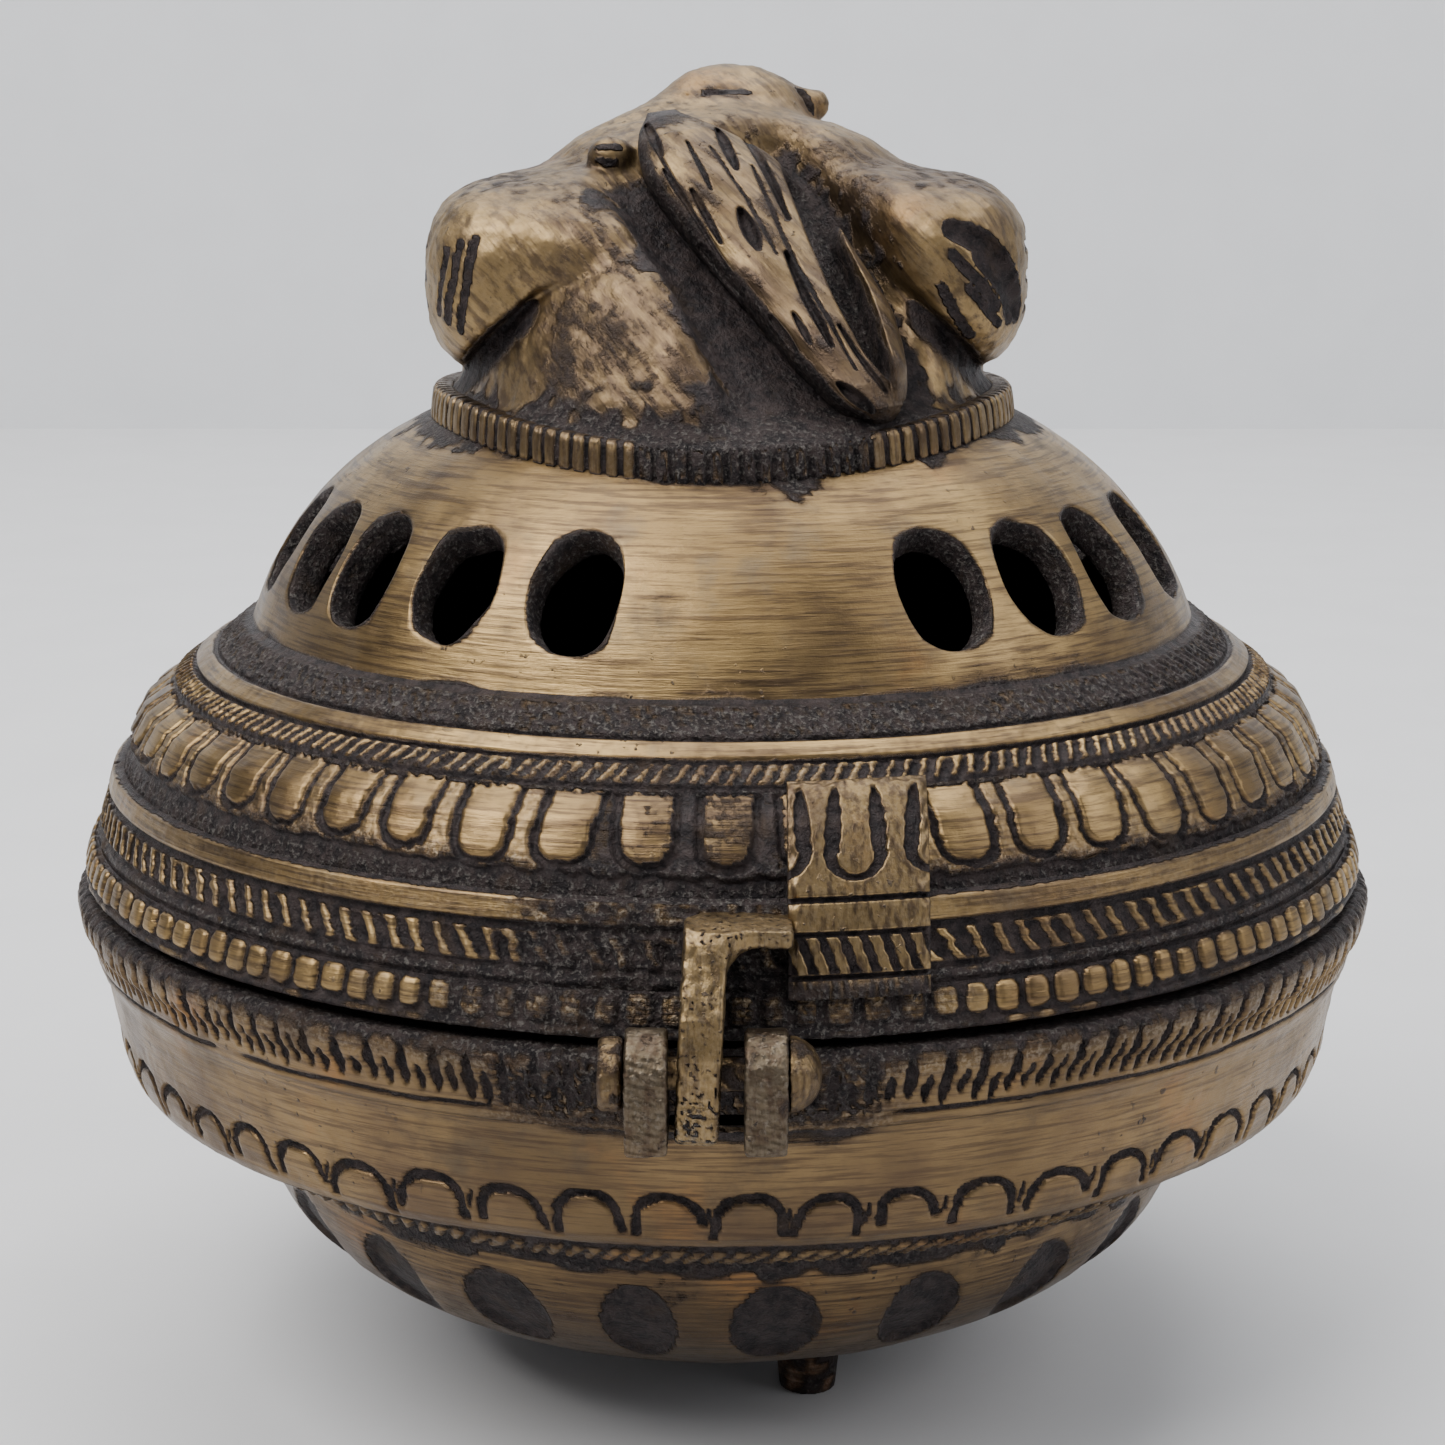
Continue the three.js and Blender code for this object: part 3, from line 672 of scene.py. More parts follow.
def collar(material):
    """The notched strip round the bird's foot, lost in untidy solder at the hinge side."""
    rows, columns = 34, 1392
    a = around(columns)
    t = np.arange(rows)[:, None] / rows
    outward, upward = np.cos(2 * math.pi * t), np.sin(2 * math.pi * t)
    rough = grain(t * 12, a, 0.5, 700, 121)
    messy = step(27, 19, np.abs(azimuth_from(a, 6) + 3 * round_grain(a, 60, 122)))
    row = Row(a * COLLAR_TEETH + 0.25 * round_grain(a, 40, 123) + 0.08 * upward + 0.5, COLLAR_TEETH)
    width = row.each(124, 0.08, 0.17)
    notch = step(width + 0.1, width - 0.03, np.abs(row.x)) * step(-0.2, 0.35, outward)
    up = squared(upward, 0.5) * (1.45 - 0.25 * notch) + 0.2 * messy * rough
    across = squared(outward, 0.42) * (0.9 - 0.34 * notch) + 0.05 * rough - 0.12 * up
    across = across * (1 + 0.1 * messy * round_grain(a, 120, 125)) - 0.9
    angle = 2 * math.pi * a
    x, y = np.sin(angle), -np.cos(angle)
    foot = dome_height(np.hypot((COLLAR[0] - 0.3) * x, (COLLAR[1] - 0.3) * y))
    points = np.stack([(COLLAR[0] + across) * x, (COLLAR[1] + across) * y, foot + 1.15 + up], -1)
    dark = notch + step(0.75, 1.0, upward) * 0.4 + step(-0.5, -0.9, upward) + messy * (0.75 + 0.5 * rough)
    grit = 0.15 + 0.6 * messy + 0 * dark
    faces = grid_faces(rows, columns, True)[:, ::-1]
    mesh_object("collar_notched", points, faces, dark, grit, LID_BODY, material, "collar_ring")


# ---------------------------------------------------------------- carved solids


def along_axis(axis, own, others=slice(None)):
    """An index into three dimensions, with its own part along one axis."""
    return tuple(own if k == axis else others for k in range(3))


def surface_net(field, low, size):
    """Points and quads of a field's zero surface: one point in each cell that the surface crosses."""
    inside = field < 0
    shape = tuple(n - 1 for n in field.shape)
    sums = np.zeros(shape + (3,), np.float32)
    hits = np.zeros(shape, np.float32)
    before, after = slice(0, -1), slice(1, None)
    for axis in range(3):
        first, second = along_axis(axis, before), along_axis(axis, after)
        crosses = inside[first] != inside[second]
        share = np.where(crosses, field[first] / np.where(crosses, field[first] - field[second], 1), 0)
        u, v = [k for k in range(3) if k != axis]
        for i, j in ((0, 0), (0, 1), (1, 0), (1, 1)):
            part = [slice(None)] * 3
            part[u], part[v] = slice(i, i + shape[u]), slice(j, j + shape[v])
            hit = crosses[tuple(part)]
            hits += hit
            sums[..., axis] += np.where(hit, share[tuple(part)], 0)
            sums[..., u] += hit * i
            sums[..., v] += hit * j
    live = hits > 0
    index = -np.ones(shape, np.int64)
    index[live] = np.arange(live.sum())
    points = (np.argwhere(live) + sums[live] / hits[live][:, None]) * size + np.array(low)
    quads = []
    for axis, u, v in ((0, 1, 2), (1, 2, 0), (2, 0, 1)):
        starts, ends = (inside[along_axis(axis, part, slice(1, -1))] for part in (before, after))
        corners = np.zeros((4, 3), int)
        corners[1:3, u] = -1
        corners[2:, v] = -1
        for leaving in (True, False):
            at = np.argwhere((starts != ends) & (starts == leaving)) + (np.arange(3) != axis)
            cells = at[:, None, :] + (corners if leaving else corners[::-1])
            quads.append(index[tuple(np.moveaxis(cells, -1, 0))])
    faces = np.concatenate(quads)
    return points, faces[(faces >= 0).all(1)]


def carved(name, low, high, size, field, body, material, *nodes, tint, wear=0.0):
    """A piece whose surface is where field(x, y, z) is 0. tint(points) gives its patina and grit."""
    axes = [np.arange(a, b + size, size) for a, b in zip(low, high)]
    x, y, z = np.meshgrid(*axes, indexing="ij", sparse=True)
    values = np.broadcast_to(np.asarray(field(x, y, z), np.float32), tuple(len(a) for a in axes)).copy()
    for axis in range(3):
        for end in (0, -1):
            edge = along_axis(axis, end)
            values[edge] = np.maximum(values[edge], size)
    points, faces = surface_net(values, low, size)
    if wear:
        points = roughened(points, faces, wear)
    mesh_object(name, points, faces, *tint(points), body, material, *nodes)


def noise_at(points, scale, offset=(0, 0, 0)):
    """Smooth noise on points, about -0.7 to 0.7."""
    return np.array([noise.noise(Vector(p) * scale + Vector(offset)) for p in points])


def roughened(points, faces, amount):
    """Points moved along their normals by noise, as a worn casting is."""
    face_normals = np.cross(points[faces[:, 2]] - points[faces[:, 0]], points[faces[:, 3]] - points[faces[:, 1]])
    normals = np.zeros_like(points)
    for corner in range(4):
        np.add.at(normals, faces[:, corner], face_normals)
    normals /= np.maximum(np.linalg.norm(normals, axis=1), 1e-9)[:, None]
    moved = noise_at(points, 0.55) + 0.5 * noise_at(points, 1.7)
    return points + normals * (moved * amount)[:, None]


def union(a, b, soft=0.0):
    """Both solids, blended over a soft distance."""
    if np.ndim(soft) == 0 and soft == 0:
        return np.minimum(a, b)
    h = np.clip(0.5 + 0.5 * (b - a) / soft, 0, 1)
    return b + (a - b) * h - soft * h * (1 - h)


def cut(a, b, soft=0.0):
    """The first solid without the second."""
    return -union(-a, b, soft)


def ball(x, y, z, centre, radii):
    """Distance to an ellipsoid, roughly."""
    px, py, pz = x - centre[0], y - centre[1], z - centre[2]
    k0 = np.sqrt((px / radii[0]) ** 2 + (py / radii[1]) ** 2 + (pz / radii[2]) ** 2)
    k1 = np.sqrt((px / radii[0] ** 2) ** 2 + (py / radii[1] ** 2) ** 2 + (pz / radii[2] ** 2) ** 2)
    return k0 * (k0 - 1) / np.maximum(k1, 1e-6)


def rod(x, y, z, start, end, r0, r1=None):
    """Distance to a round rod with round ends, tapering from r0 to r1."""
    r1 = r0 if r1 is None else r1
    start = np.array(start, float)
    along = np.array(end, float) - start
    px, py, pz = x - start[0], y - start[1], z - start[2]
    t = np.clip((px * along[0] + py * along[1] + pz * along[2]) / (along @ along), 0, 1)
    away = np.sqrt((px - t * along[0]) ** 2 + (py - t * along[1]) ** 2 + (pz - t * along[2]) ** 2)
    return away - (r0 + (r1 - r0) * t)


def block(x, y, z, low, high, r):
    """Distance to a box with rounded edges."""
    half = [(b - a) / 2 - r for a, b in zip(low, high)]
    mid = [(a + b) / 2 for a, b in zip(low, high)]
    q = [np.abs(v - m) - h for v, m, h in zip((x, y, z), mid, half)]
    outside = np.sqrt(sum(np.maximum(v, 0) ** 2 for v in q))
    return outside + np.minimum(np.maximum.reduce(np.broadcast_arrays(*q)), 0) - r


def drum(x, y, z, x0, x1, r, edge, centre):
    """Distance to a cylinder along X from x0 to x1, with rounded rims."""
    away = np.hypot(y - centre[0], z - centre[1]) - (r - edge)
    long = np.abs(x - (x0 + x1) / 2) - ((x1 - x0) / 2 - edge)
    away, long = np.broadcast_arrays(away, long)
    return np.hypot(np.maximum(away, 0), np.maximum(long, 0)) + np.minimum(np.maximum(away, long), 0) - edge


# ---------------------------------------------------------------- the bird

BELL_Z = (76, 84, 88.5, 93, 97.3, 101, 103.6, 105.4, 108)
BELL_SHARE = (1.0, 0.99, 0.955, 0.89, 0.77, 0.58, 0.38, 0.05, -0.2)
LEAN = 0.28  # the body leans towards its breast
TAIL_ROOT = np.array([-1.9, -6.0, 105.8])
TAIL_TIP = np.array([12.4, -27.0, 83.4])
TAIL_OUT = np.array([0.3, -0.75, 0.6])
# Distance across the tail, + to the right, against the share of its length from the root.
TAIL_LEFT = ((-0.05, -3.2), (-0.02, -4.8), (0.07, -6.5), (0.16, -7.15), (0.38, -6.4), (0.6, -4.9), (0.78, -3.95))
TAIL_LEFT += ((0.9, -2.9), (0.96, -2.0), (0.985, -0.9), (0.99, -0.2))
TAIL_RIGHT = ((-0.05, -1.4), (0.01, 0.6), (0.1, 3.4), (0.17, 4.8), (0.31, 6.05), (0.41, 6.5), (0.585, 6.55))
TAIL_RIGHT += ((0.695, 6.5), (0.8, 5.6), (0.89, 4.4), (0.95, 3.3), (0.985, 2.2), (0.99, 1.2))
TROUGH_LEFT = ((0.14, 4.4), (0.227, 3.87), (0.447, 2.39), (0.643, 1.4), (0.811, 1.2), (0.935, 2.06))
TROUGH_RIGHT = ((0.36, 8.5), (0.41, 6.6), (0.46, 5.3), (0.621, 4.8), (0.754, 3.8), (0.879, 2.8), (0.96, 1.9))
# Carved lines on the tail: width and depth in mm, then a chain of (share of length, distance across).
TAIL_CUTS = (
    (0.9, 0.75, ((0.05, 3.1), (0.11, 2.96), (0.23, 2.54), (0.38, 1.86))),
    (1.1, 0.7, ((0.06, 0.85), (0.2, 0.1))),
    (0.4, 0.3, ((0.09, -2.5), (0.25, -3.0))),
    (0.9, 0.6, ((0.0, -4.6), (0.11, -5.2))),
    (1.5, 0.8, ((0.33, -1.6), (0.45, -2.1))),
    (0.6, 0.4, ((0.24, -4.5), (0.41, -4.6))),
    (0.6, 0.4, ((0.16, -5.6), (0.29, -5.4))),
    (0.85, 0.85, ((0.48, 0.0), (0.63, -0.67), (0.77, -0.9))),
    (0.8, 0.5, ((0.4, -6.1), (0.56, -5.1))),
    (0.7, 0.4, ((0.65, -4.0), (0.76, -3.6))),
    (0.55, 0.4, ((0.66, -2.3), (0.75, -2.4))),
    (0.5, 0.5, ((0.72, 0.6), (0.86, 0.9), (0.93, 1.3))),
    (1.2, 0.8, ((0.88, -1.9), (0.97, -0.5))),
    (0.35, 0.3, ((0.05, -5.2), (0.27, -5.5), (0.58, -5.0), (0.79, -3.7))),
    (0.35, 0.3, ((0.2, 1.6), (0.45, 0.4), (0.6, 0.1), (0.85, -0.1))),
    (0.3, 0.25, ((0.12, -0.9), (0.3, -0.6), (0.48, -0.9))),
)
# Slits of the wings, the eye, the beak and the knob: a radius, then a chain of points.
SLITS = (
    (0.22, ((-2.6, 4.6, 106.9), (-0.2, 4.0, 107.4), (2.2, 4.2, 107.6))),
    (0.55, ((6.9, 8.3, 107.6), (7.2, 8.0, 105.6))),
    (0.6, ((3.2, 14.8, 106.9), (4.0, 14.6, 106.7))),
    (0.16, ((-10.4, -6.7, 103.2), (-7.8, -6.9, 103.0))),
    (0.16, ((-10.5, -7.0, 101.9), (-7.9, -7.2, 101.8))),
    (0.32, ((-19.5, -15.0, 96.2), (-20.3, -15.3, 92.5), (-21.0, -14.1, 88.8))),
    (0.34, ((-20.8, -14.45, 95.8), (-21.4, -14.45, 92.9), (-22.0, -13.35, 89.6))),
    (0.32, ((-22.0, -13.45, 95.0), (-22.4, -13.15, 92.8), (-22.8, -12.2, 90.2))),
    (1.0, ((18.3, -15.3, 97.0), (20.9, -14.7, 95.6), (23.1, -13.2, 93.0), (24.0, -11.2, 90.2))),
    (0.8, ((20.5, -15.2, 94.8), (22.4, -14.0, 92.4), (23.3, -12.6, 90.0))),
    (0.34, ((18.0, -15.95, 95.0), (20.1, -15.65, 92.9), (21.9, -14.4, 90.7))),
    (0.3, ((19.5, -15.8, 92.2), (20.7, -15.3, 90.9), (22.0, -13.85, 89.4))),
    (0.32, ((17.2, -15.98, 92.4), (18.4, -15.85, 90.2), (19.7, -14.75, 88.4))),
)
# Feather lines on the wings' outer sides and on the breast, worn shallow.
FEATHERS = [
    (0.4, [(side * 24.4, -8.5, 88 + 2.4 * k), (side * 25.3, -1, 88.8 + 2.3 * k), (side * 24.2, 8, 89.6 + 2.2 * k)])
    for side in (-1, 1)
    for k in range(4)
]


def breast_feather(i, j):
    """A short curved line: the i-th across in the j-th row up the breast."""
    middle = 4.6 * i + 2.3 * (j % 2)
    return [(middle + dx, 27.2 - 0.5 * dx * dx / 4 - 1.5 * j, 88.5 + 3.2 * j + abs(dx) * 0.5) for dx in (-2, 0, 2)]


FEATHERS += [(0.35, breast_feather(i, j)) for j in range(4) for i in range(-2, 3)]
SLIT_RODS = [(start, end, r) for r, chain in (*SLITS, *FEATHERS) for start, end in zip(chain[:-1], chain[1:])]


def tail_frame():
    """The tail's own directions: along it, to its right and outwards, and its length."""
    along = TAIL_TIP - TAIL_ROOT
    length = np.linalg.norm(along)
    along = along / length
    right = np.cross(TAIL_OUT, along)
    right = right / np.linalg.norm(right)
    return along, right, np.cross(along, right), length


def in_tail_frame(x, y, z):
    """Distances along the tail, across it and outwards from its line."""
    along, right, out, _ = tail_frame()
    px, py, pz = x - TAIL_ROOT[0], y - TAIL_ROOT[1], z - TAIL_ROOT[2]
    return [px * axis[0] + py * axis[1] + pz * axis[2] for axis in (along, right, out)]


def table(pairs, at):
    """Smooth curve through (at, value) pairs."""
    keys, values = np.array(pairs, float).T
    return sum(np.interp(at + shift, keys, values) for shift in (-0.03, -0.015, 0, 0.015, 0.03)) / 5


def from_chain(u, v, chain):
    """Distance from the points (u, v) to a chain of points, and how far along the chain, 0 to 1."""
    best = np.full(np.broadcast(u, v).shape, 99.0)
    place = np.zeros_like(best)
    count = len(chain) - 1
    for i, ((u0, v0), (u1, v1)) in enumerate(zip(chain[:-1], chain[1:])):
        du, dv = u1 - u0, v1 - v0
        t = np.clip(((u - u0) * du + (v - v0) * dv) / (du * du + dv * dv), 0, 1)
        away = np.hypot(u - u0 - t * du, v - v0 - t * dv)
        place = np.where(away < best, (i + t) / count, place)
        best = np.minimum(best, away)
    return best, place


TAIL_CROWN = ((-0.05, 0), (-0.02, 1.5), (0.05, 2.9), (0.2, 3.5), (0.7, 3.4), (0.9, 2.7), (0.97, 1.9), (0.99, 0.6))


def tail(material):
    """The tail: a thick leaf laid over the back, with a deep trough along its right side."""
    along, right, out, length = tail_frame()
    rows, columns = ((250, 126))
    share = np.linspace(0, 1, rows)[:, None]
    a = -0.05 + 1.04 * (share - 0.03 * np.sin(2 * math.pi * share))  # share of its length, closer at the ends
    t = np.linspace(0, 1, columns)[None, :]
    t = t - 0.07 * np.sin(2 * math.pi * t)
    left = table(TAIL_LEFT, a)
    across = left + (table(TAIL_RIGHT, a) - left) * t
    wave = 0.12 * np.sin(a * 21 + across) + 0.08 * np.sin(a * 47 - 2 * across)
    open_edge = (t > 0) * (t < 1)
    crown = np.interp(a, *zip(*TAIL_CROWN))
    height = crown * np.clip(1 - np.abs(2 * t - 1) ** 2.4, 0, 1) ** 0.5 + 0.5 * wave * open_edge
    in_trough = step(0.15, 0.3, a) * step(0.97, 0.86, a)
    hollow = step(0, 0.8, across - table(TROUGH_LEFT, a)) * step(0, 0.8, table(TROUGH_RIGHT, a) - across) * in_trough
    height = height - hollow * np.minimum(3.2, np.maximum(0, height + 0.9))
    rim = step(0.0, 0.5, across - table(TROUGH_RIGHT, a) + 0.5) * in_trough
    height = height + 1.5 * rim * step(0.0, 0.1, 1 - t)
    depth = 0 * a * t
    for wide, deep, chain in TAIL_CUTS:
        away, place = from_chain(a * length, across, [(share * length, offset) for share, offset in chain])
        half = wide / 2 * np.clip(np.sin(math.pi * (0.06 + 0.88 * place)), 0.2, 1) ** 0.6 + 0.05 * wave
        depth = np.maximum(depth, deep * step(half + 0.12, half * 0.25, away))
    height = height - depth * open_edge

    # The leaf's thickness leans towards its root and to its right, as if peeled off the back.
    lean = out - 0.44 * right + 0.65 * along

    def at(offset, lift, deeper=0.0):
        line = TAIL_ROOT + along * (a * length)[..., None] + right * offset[..., None]
        return line + lean * (lift - 2.9)[..., None] - out * np.asarray(deeper)[..., None]

    under = 1.1 + 1.4 * np.clip(1 - np.abs(2 * t - 1) ** 2, 0, 1) * np.ones_like(a)
    edge = step(0.1, 0.0, t) + step(0.97, 1.0, t)
    # The trough's darkening (hollow * 1.3) is painted shade.
    patina_and_shade = 0.32 + 0.6 * wave + depth * 2.2 + hollow * 1.3 + 0.75 * edge + 0.5 * step(0.05, -0.03, a)
    grit = 0.1 + 0.5 * hollow + 0.5 * edge + 0.5 * step(0.86, 1.0, a)
    shell = Shell()
    lower = at(across + 0.8 * (0.5 - t), 0 * under, under)
    shell.leaf(at(across, height), lower, (patina_and_shade, grit), (1.0, 0.6), (0.9, 0.5))
    shell.make("bird_tail", LID_BODY, material)


def bell(x, y, z):
    lean = LEAN * np.maximum(0, z - 84)
    share = np.interp(z, BELL_Z, BELL_SHARE)
    round_ = np.sqrt((x / (COLLAR[0] - 2.3)) ** 2 + ((y - lean) / (COLLAR[1] - 2.3)) ** 2)
    return (round_ - share) * 17.5


def wing(x, y, z, side):
    """A boxy half-open wing, cut underneath so that its lower edge stands clear of the body."""
    power = 2.8
    centre, half = ((-15.9, -0.5, 92.5), 8.6) if side < 0 else ((16.3, -0.5, 92.8), 8.9)
    lobe = np.abs((x - centre[0]) / half) ** power + np.abs((y - centre[1]) / 15.5) ** power
    lobe = ((lobe + np.abs((z - centre[2]) / 8.2) ** power) ** (1 / power) - 1) * 8.5
    top = np.array([side * 15.5, -15.0, 91.3])
    tip = np.array([side * 22.1, -12.0, 85.5])
    normal = np.cross(tip - top, (-side * 0.4, 1, 0.15)) * -side
    normal = normal / np.linalg.norm(normal)
    under = (x - top[0]) * normal[0] + (y - top[1]) * normal[1] + (z - top[2]) * normal[2]
    return np.maximum(lobe, np.where(y < 6, under, -1))


def oval_wall(x, y, inset):
    """Distance to an upright wall that follows the collar, this far inside it."""
    return (np.sqrt((x / (COLLAR[0] - inset)) ** 2 + (y / (COLLAR[1] - inset)) ** 2) - 1) * 25


def bird_field(x, y, z):
    body = bell(x, y, z)
    for side in (-1, 1):
        body = union(body, wing(x, y, z, side), 0.5 + 5.5 * step(90.5, 97.5, z))
    back = ball(x, y, z, (0, 4, 101.5), (13.5, 11, 4.6))
    shoulder = rod(x, y, z, (-9.0, 3.0, 101.0), (-1.5, 8.0, 105.0), 3.0, 4.2)
    breast = ball(x, y, z, (0, 15, 92), (13, 12.5, 9.5))
    neck = rod(x, y, z, (0.6, 6.0, 100.0), (1.4, 10.0, 104.4), 6.8, 5.2)
    for part, soft in ((back, 3.0), (shoulder, 2.0), (breast, 3.0), (neck, 2.5)):
        body = union(body, part, soft)
    bed = block(*in_tail_frame(x, y, z), (0.5, -9.4, -4.4), (36, 8.4, 12), 2.6)
    body = cut(body, bed, 3.0)
    head = ball(x, y, z, (2.0, 9.6, 105.0), (5.9, 5.8, 4.2))
    beak = rod(x, y, z, (5.6, 9.8, 106.2), (8.0, 10.0, 106.3), 1.9, 1.3)
    knob = ball(x, y, z, (-9.1, -5.4, 102.2), (1.9, 1.7, 1.7))
    for part, soft in ((head, 1.2), (beak, 0.7), (knob, 0.3)):
        body = union(body, part, soft)
    for start, end, radius in SLIT_RODS:
        body = cut(body, rod(x, y, z, start, end, radius, radius * 0.9), 0.12)
    body = np.where(z < 83.5, np.maximum(body, oval_wall(x, y, 1.8)), body)
    above = z - dome_height(np.hypot(x, y))
    body = union(body, np.maximum(oval_wall(x, y, 0.9), above - 1.9), 1.4)  # solder round its foot
    return np.maximum(body, -0.3 - above)


def near_rods(points, rods, reach):
    """1 on points within a rod, falling to 0 at reach outside it."""
    away = np.minimum.reduce([rod(*points.T, start, end, radius) for start, end, radius in rods])
    return step(reach, reach * 0.25, away)


def bird_tint(points):
    """Dark in slits, under the wings, at the foot, on the wings' tops and in the valley beside the tail, and a darker
    back. In the slits and under the wings the dark is painted shade; in the valley and on the back it is partly painted
    shade.
    """
    x, y, z = points.T
    out = np.abs(x)
    broad = noise_at(points, 0.28)
    speckle = noise_at(points, 0.8, (7, 0, 7))
    fine = noise_at(points, 2.4)
    # Painted shade in and just round the slits and feather lines.
    slits = near_rods(points, SLIT_RODS, 0.22)
    along, across, outward = in_tail_frame(x, y, z)
    # A painted shadow, with some dark patina, in the valley beside the tail.
    valley = step(-12.2, -9.2, across + 3.4 * broad + 1.6 * speckle) * step(0, 4, along)
    valley = valley * step(9.2, 7.4, across + speckle) * step(4, -2, y) * step(5, 0, outward)
    beyond = 0.62 * (15.5 - out) - 0.13 * (y + 15) - 0.77 * (z - 91.3)  # inwards from the wings' lower edges
    # Painted shade under the wings' lower edges.
    recess = step(-0.5, 0.3, beyond) * step(3.2, 1.4, beyond) * step(13.5, 15.5, out) * step(92, 91, z)
    foot = step(85.8, 82.0, z + 2.6 * speckle + 1.8 * broad)
    tops = step(97.9, 100.9, z + 0.8 * speckle + 1.2 * broad) * step(11, 17, out) * (0.42 + 0.35 * speckle)
    crown = step(-0.1, 0.5, speckle + broad) * step(104, 107, z) * 0.3
    smudge = np.hypot(x / 3.2, np.hypot(y - 4.2, z - 107.3) / 1.6) + 0.3 * speckle
    smudge = 0.42 * step(1.15, 0.6, smudge)
    # A darker film on the back between the wings and low on the left side: partly patina, partly painted shade where
    # the back and that side get less light.
    film = 0.02 + 0.36 * step(16.5, 12, out) * step(4, -4, y) + 0.14 * step(-9, -13, x) * step(93, 89, z)
    film = film + 0.06 * broad
    dark = [film, slits, valley * (0.95 + 0.3 * fine), 0.85 * foot, tops, crown, smudge, 0.9 * recess]
    return np.maximum.reduce(dark), 0.08 + 0.5 * foot + 0.4 * tops + 0.3 * step(0.1, 0.5, fine) * valley


def bird(material):
    size = 0.34
    box = (-26.5, -30.5, 76.0), (26.5, 30.0, 111.0)
    carved("bird_finial", *box, size, bird_field, LID_BODY, material, "bird", tint=bird_tint, wear=0.14)
    tail(material)


# ---------------------------------------------------------------- hinge, clasp, feet and cup


def stretch(side, near, far):
    """The lower and upper Y of a stretch that lies outwards from near to far, on one side."""
    return sorted((side * near, side * far))


def ear_field(side, x0):
    """A forged ear from x0 on, at the hinge or the clasp: a round head, a bored eye and a step over the rim."""
    centre = (side * AXIS_Y, AXIS_Z)
    x1 = x0 + EAR_THICK

    def field(x, y, z):
        head = drum(x, y, z, x0, x1, 3.1, 0.3, centre)
        near, far = stretch(side, 53.0, AXIS_Y + 3.1)
        body = union(head, block(x, y, z, (x0, near, 37.5), (x1, far, AXIS_Z), 0.3), 0.1)
        body = body + 0.05 * np.sin(z * 8.7 + x) * np.sin(z * 3.1 + 2 * x)
        near, far = stretch(side, 50, 55.6)
        body = cut(body, block(x, y, z, (x0 - 1, near, 41.0), (x1 + 1, far, 46), 0.1), 0.3)
        return cut(body, drum(x, y, z, x0 - 1, x1 + 1, 1.35, 0.1, centre), 0.1)

    return field


def metal_tint(base, seed):
    """Patina that gathers low and in patches on a small forged piece."""

    def tint(points):
        patches = noise_at(points, 0.7, (seed, 0, 0))
        pits = noise_at(points, 3.1, (0, seed, 0))
        low = step(40.5, 38.0, points[:, 2])
        deep = step(56.5, 54.0, np.abs(points[:, 1]))
        patina_and_shade = base + 0.3 * step(0.1, 0.5, patches) + 0.2 * step(0.2, 0.45, pits) * low + 0.8 * deep
        return patina_and_shade, 0.15 + 0.3 * step(0.1, 0.5, pits)

    return tint


def ears(material):
    for side, starts, kind in ((-1, HINGE_EARS, "hinge"), (1, CLASP_EARS, "clasp")):
        near, far = stretch(side, 53.0, 61.6)
        for word, x0 in zip(("left", "right"), starts):
            box = (x0 - 0.4, near - 0.4, 37.0), (x0 + EAR_THICK + 0.4, far + 0.4, 46.0)
            node = f"{kind}_ear_{word}"
            shape, tint = ear_field(side, x0), metal_tint(0.12, 5 + x0)
            carved(f"{node}_filed", *box, 0.14, shape, BOWL_BODY, material, node, tint=tint, wear=0.06)


def pin_field(x, y, z):
    """The rivet: a shaft, a flat head on the left, a domed one on the right and hammer marks."""
    centre = (-AXIS_Y, AXIS_Z)
    left = HINGE_EARS[0] - 0.15
    right = HINGE_EARS[1] + EAR_THICK + 0.15
    shaft = drum(x, y, z, left - 0.5, right + 0.5, 1.15, 0.1, centre)
    flat = drum(x, y, z, left - 1.7, left, 2.5, 0.45, centre)
    domed = np.maximum(ball(x, y, z, (right, *centre), (2.2, 2.6, 2.6)), right - x)
    body = union(union(shaft, flat), domed)
    marks = (
        ((right + 1.5, -61, AXIS_Z + 2.6), (right + 1.5, -61, AXIS_Z - 2.2), 0.3),
        ((right + 0.6, -61, AXIS_Z - 0.6), (right + 2.4, -60, AXIS_Z - 0.5), 0.22),
        ((left - 1.9, -60.6, AXIS_Z - 0.6), (left - 0.9, -61, AXIS_Z - 1.6), 0.25),
    )
    for start, end, radius in marks:
        body = cut(body, rod(x, y, z, start, end, radius), 0.1)
    return body


def hinge_pin(material):
    box = (HINGE_EARS[0] - 2.4, -61.3, 39.3), (HINGE_EARS[1] + EAR_THICK + 2.9, -55.1, 45.5)
    tint = metal_tint(0.32, 31)
    carved("hinge_rivet", *box, 0.12, pin_field, BOWL_BODY, material, "hinge_pin", tint=tint, wear=0.08)


def prism(y, z, outline):
    """Distance to an outline of (y, z) points, negative inside it."""
    best = None
    inside = None
    for (y0, z0), (y1, z1) in zip(outline, outline[1:] + outline[:1]):
        ey, ez = y1 - y0, z1 - z0
        wy, wz = y - y0, z - z0
        t = np.clip((wy * ey + wz * ez) / (ey * ey + ez * ez), 0, 1)
        away = np.hypot(wy - ey * t, wz - ez * t)
        best = away if best is None else np.minimum(best, away)
        crosses = ((z0 > z) != (z1 > z)) & (y < (y1 - y0) * (z - z0) / ((z1 - z0) or 1e-9) + y0)
        inside = crosses if inside is None else inside ^ crosses
    return np.where(inside, -best, best)


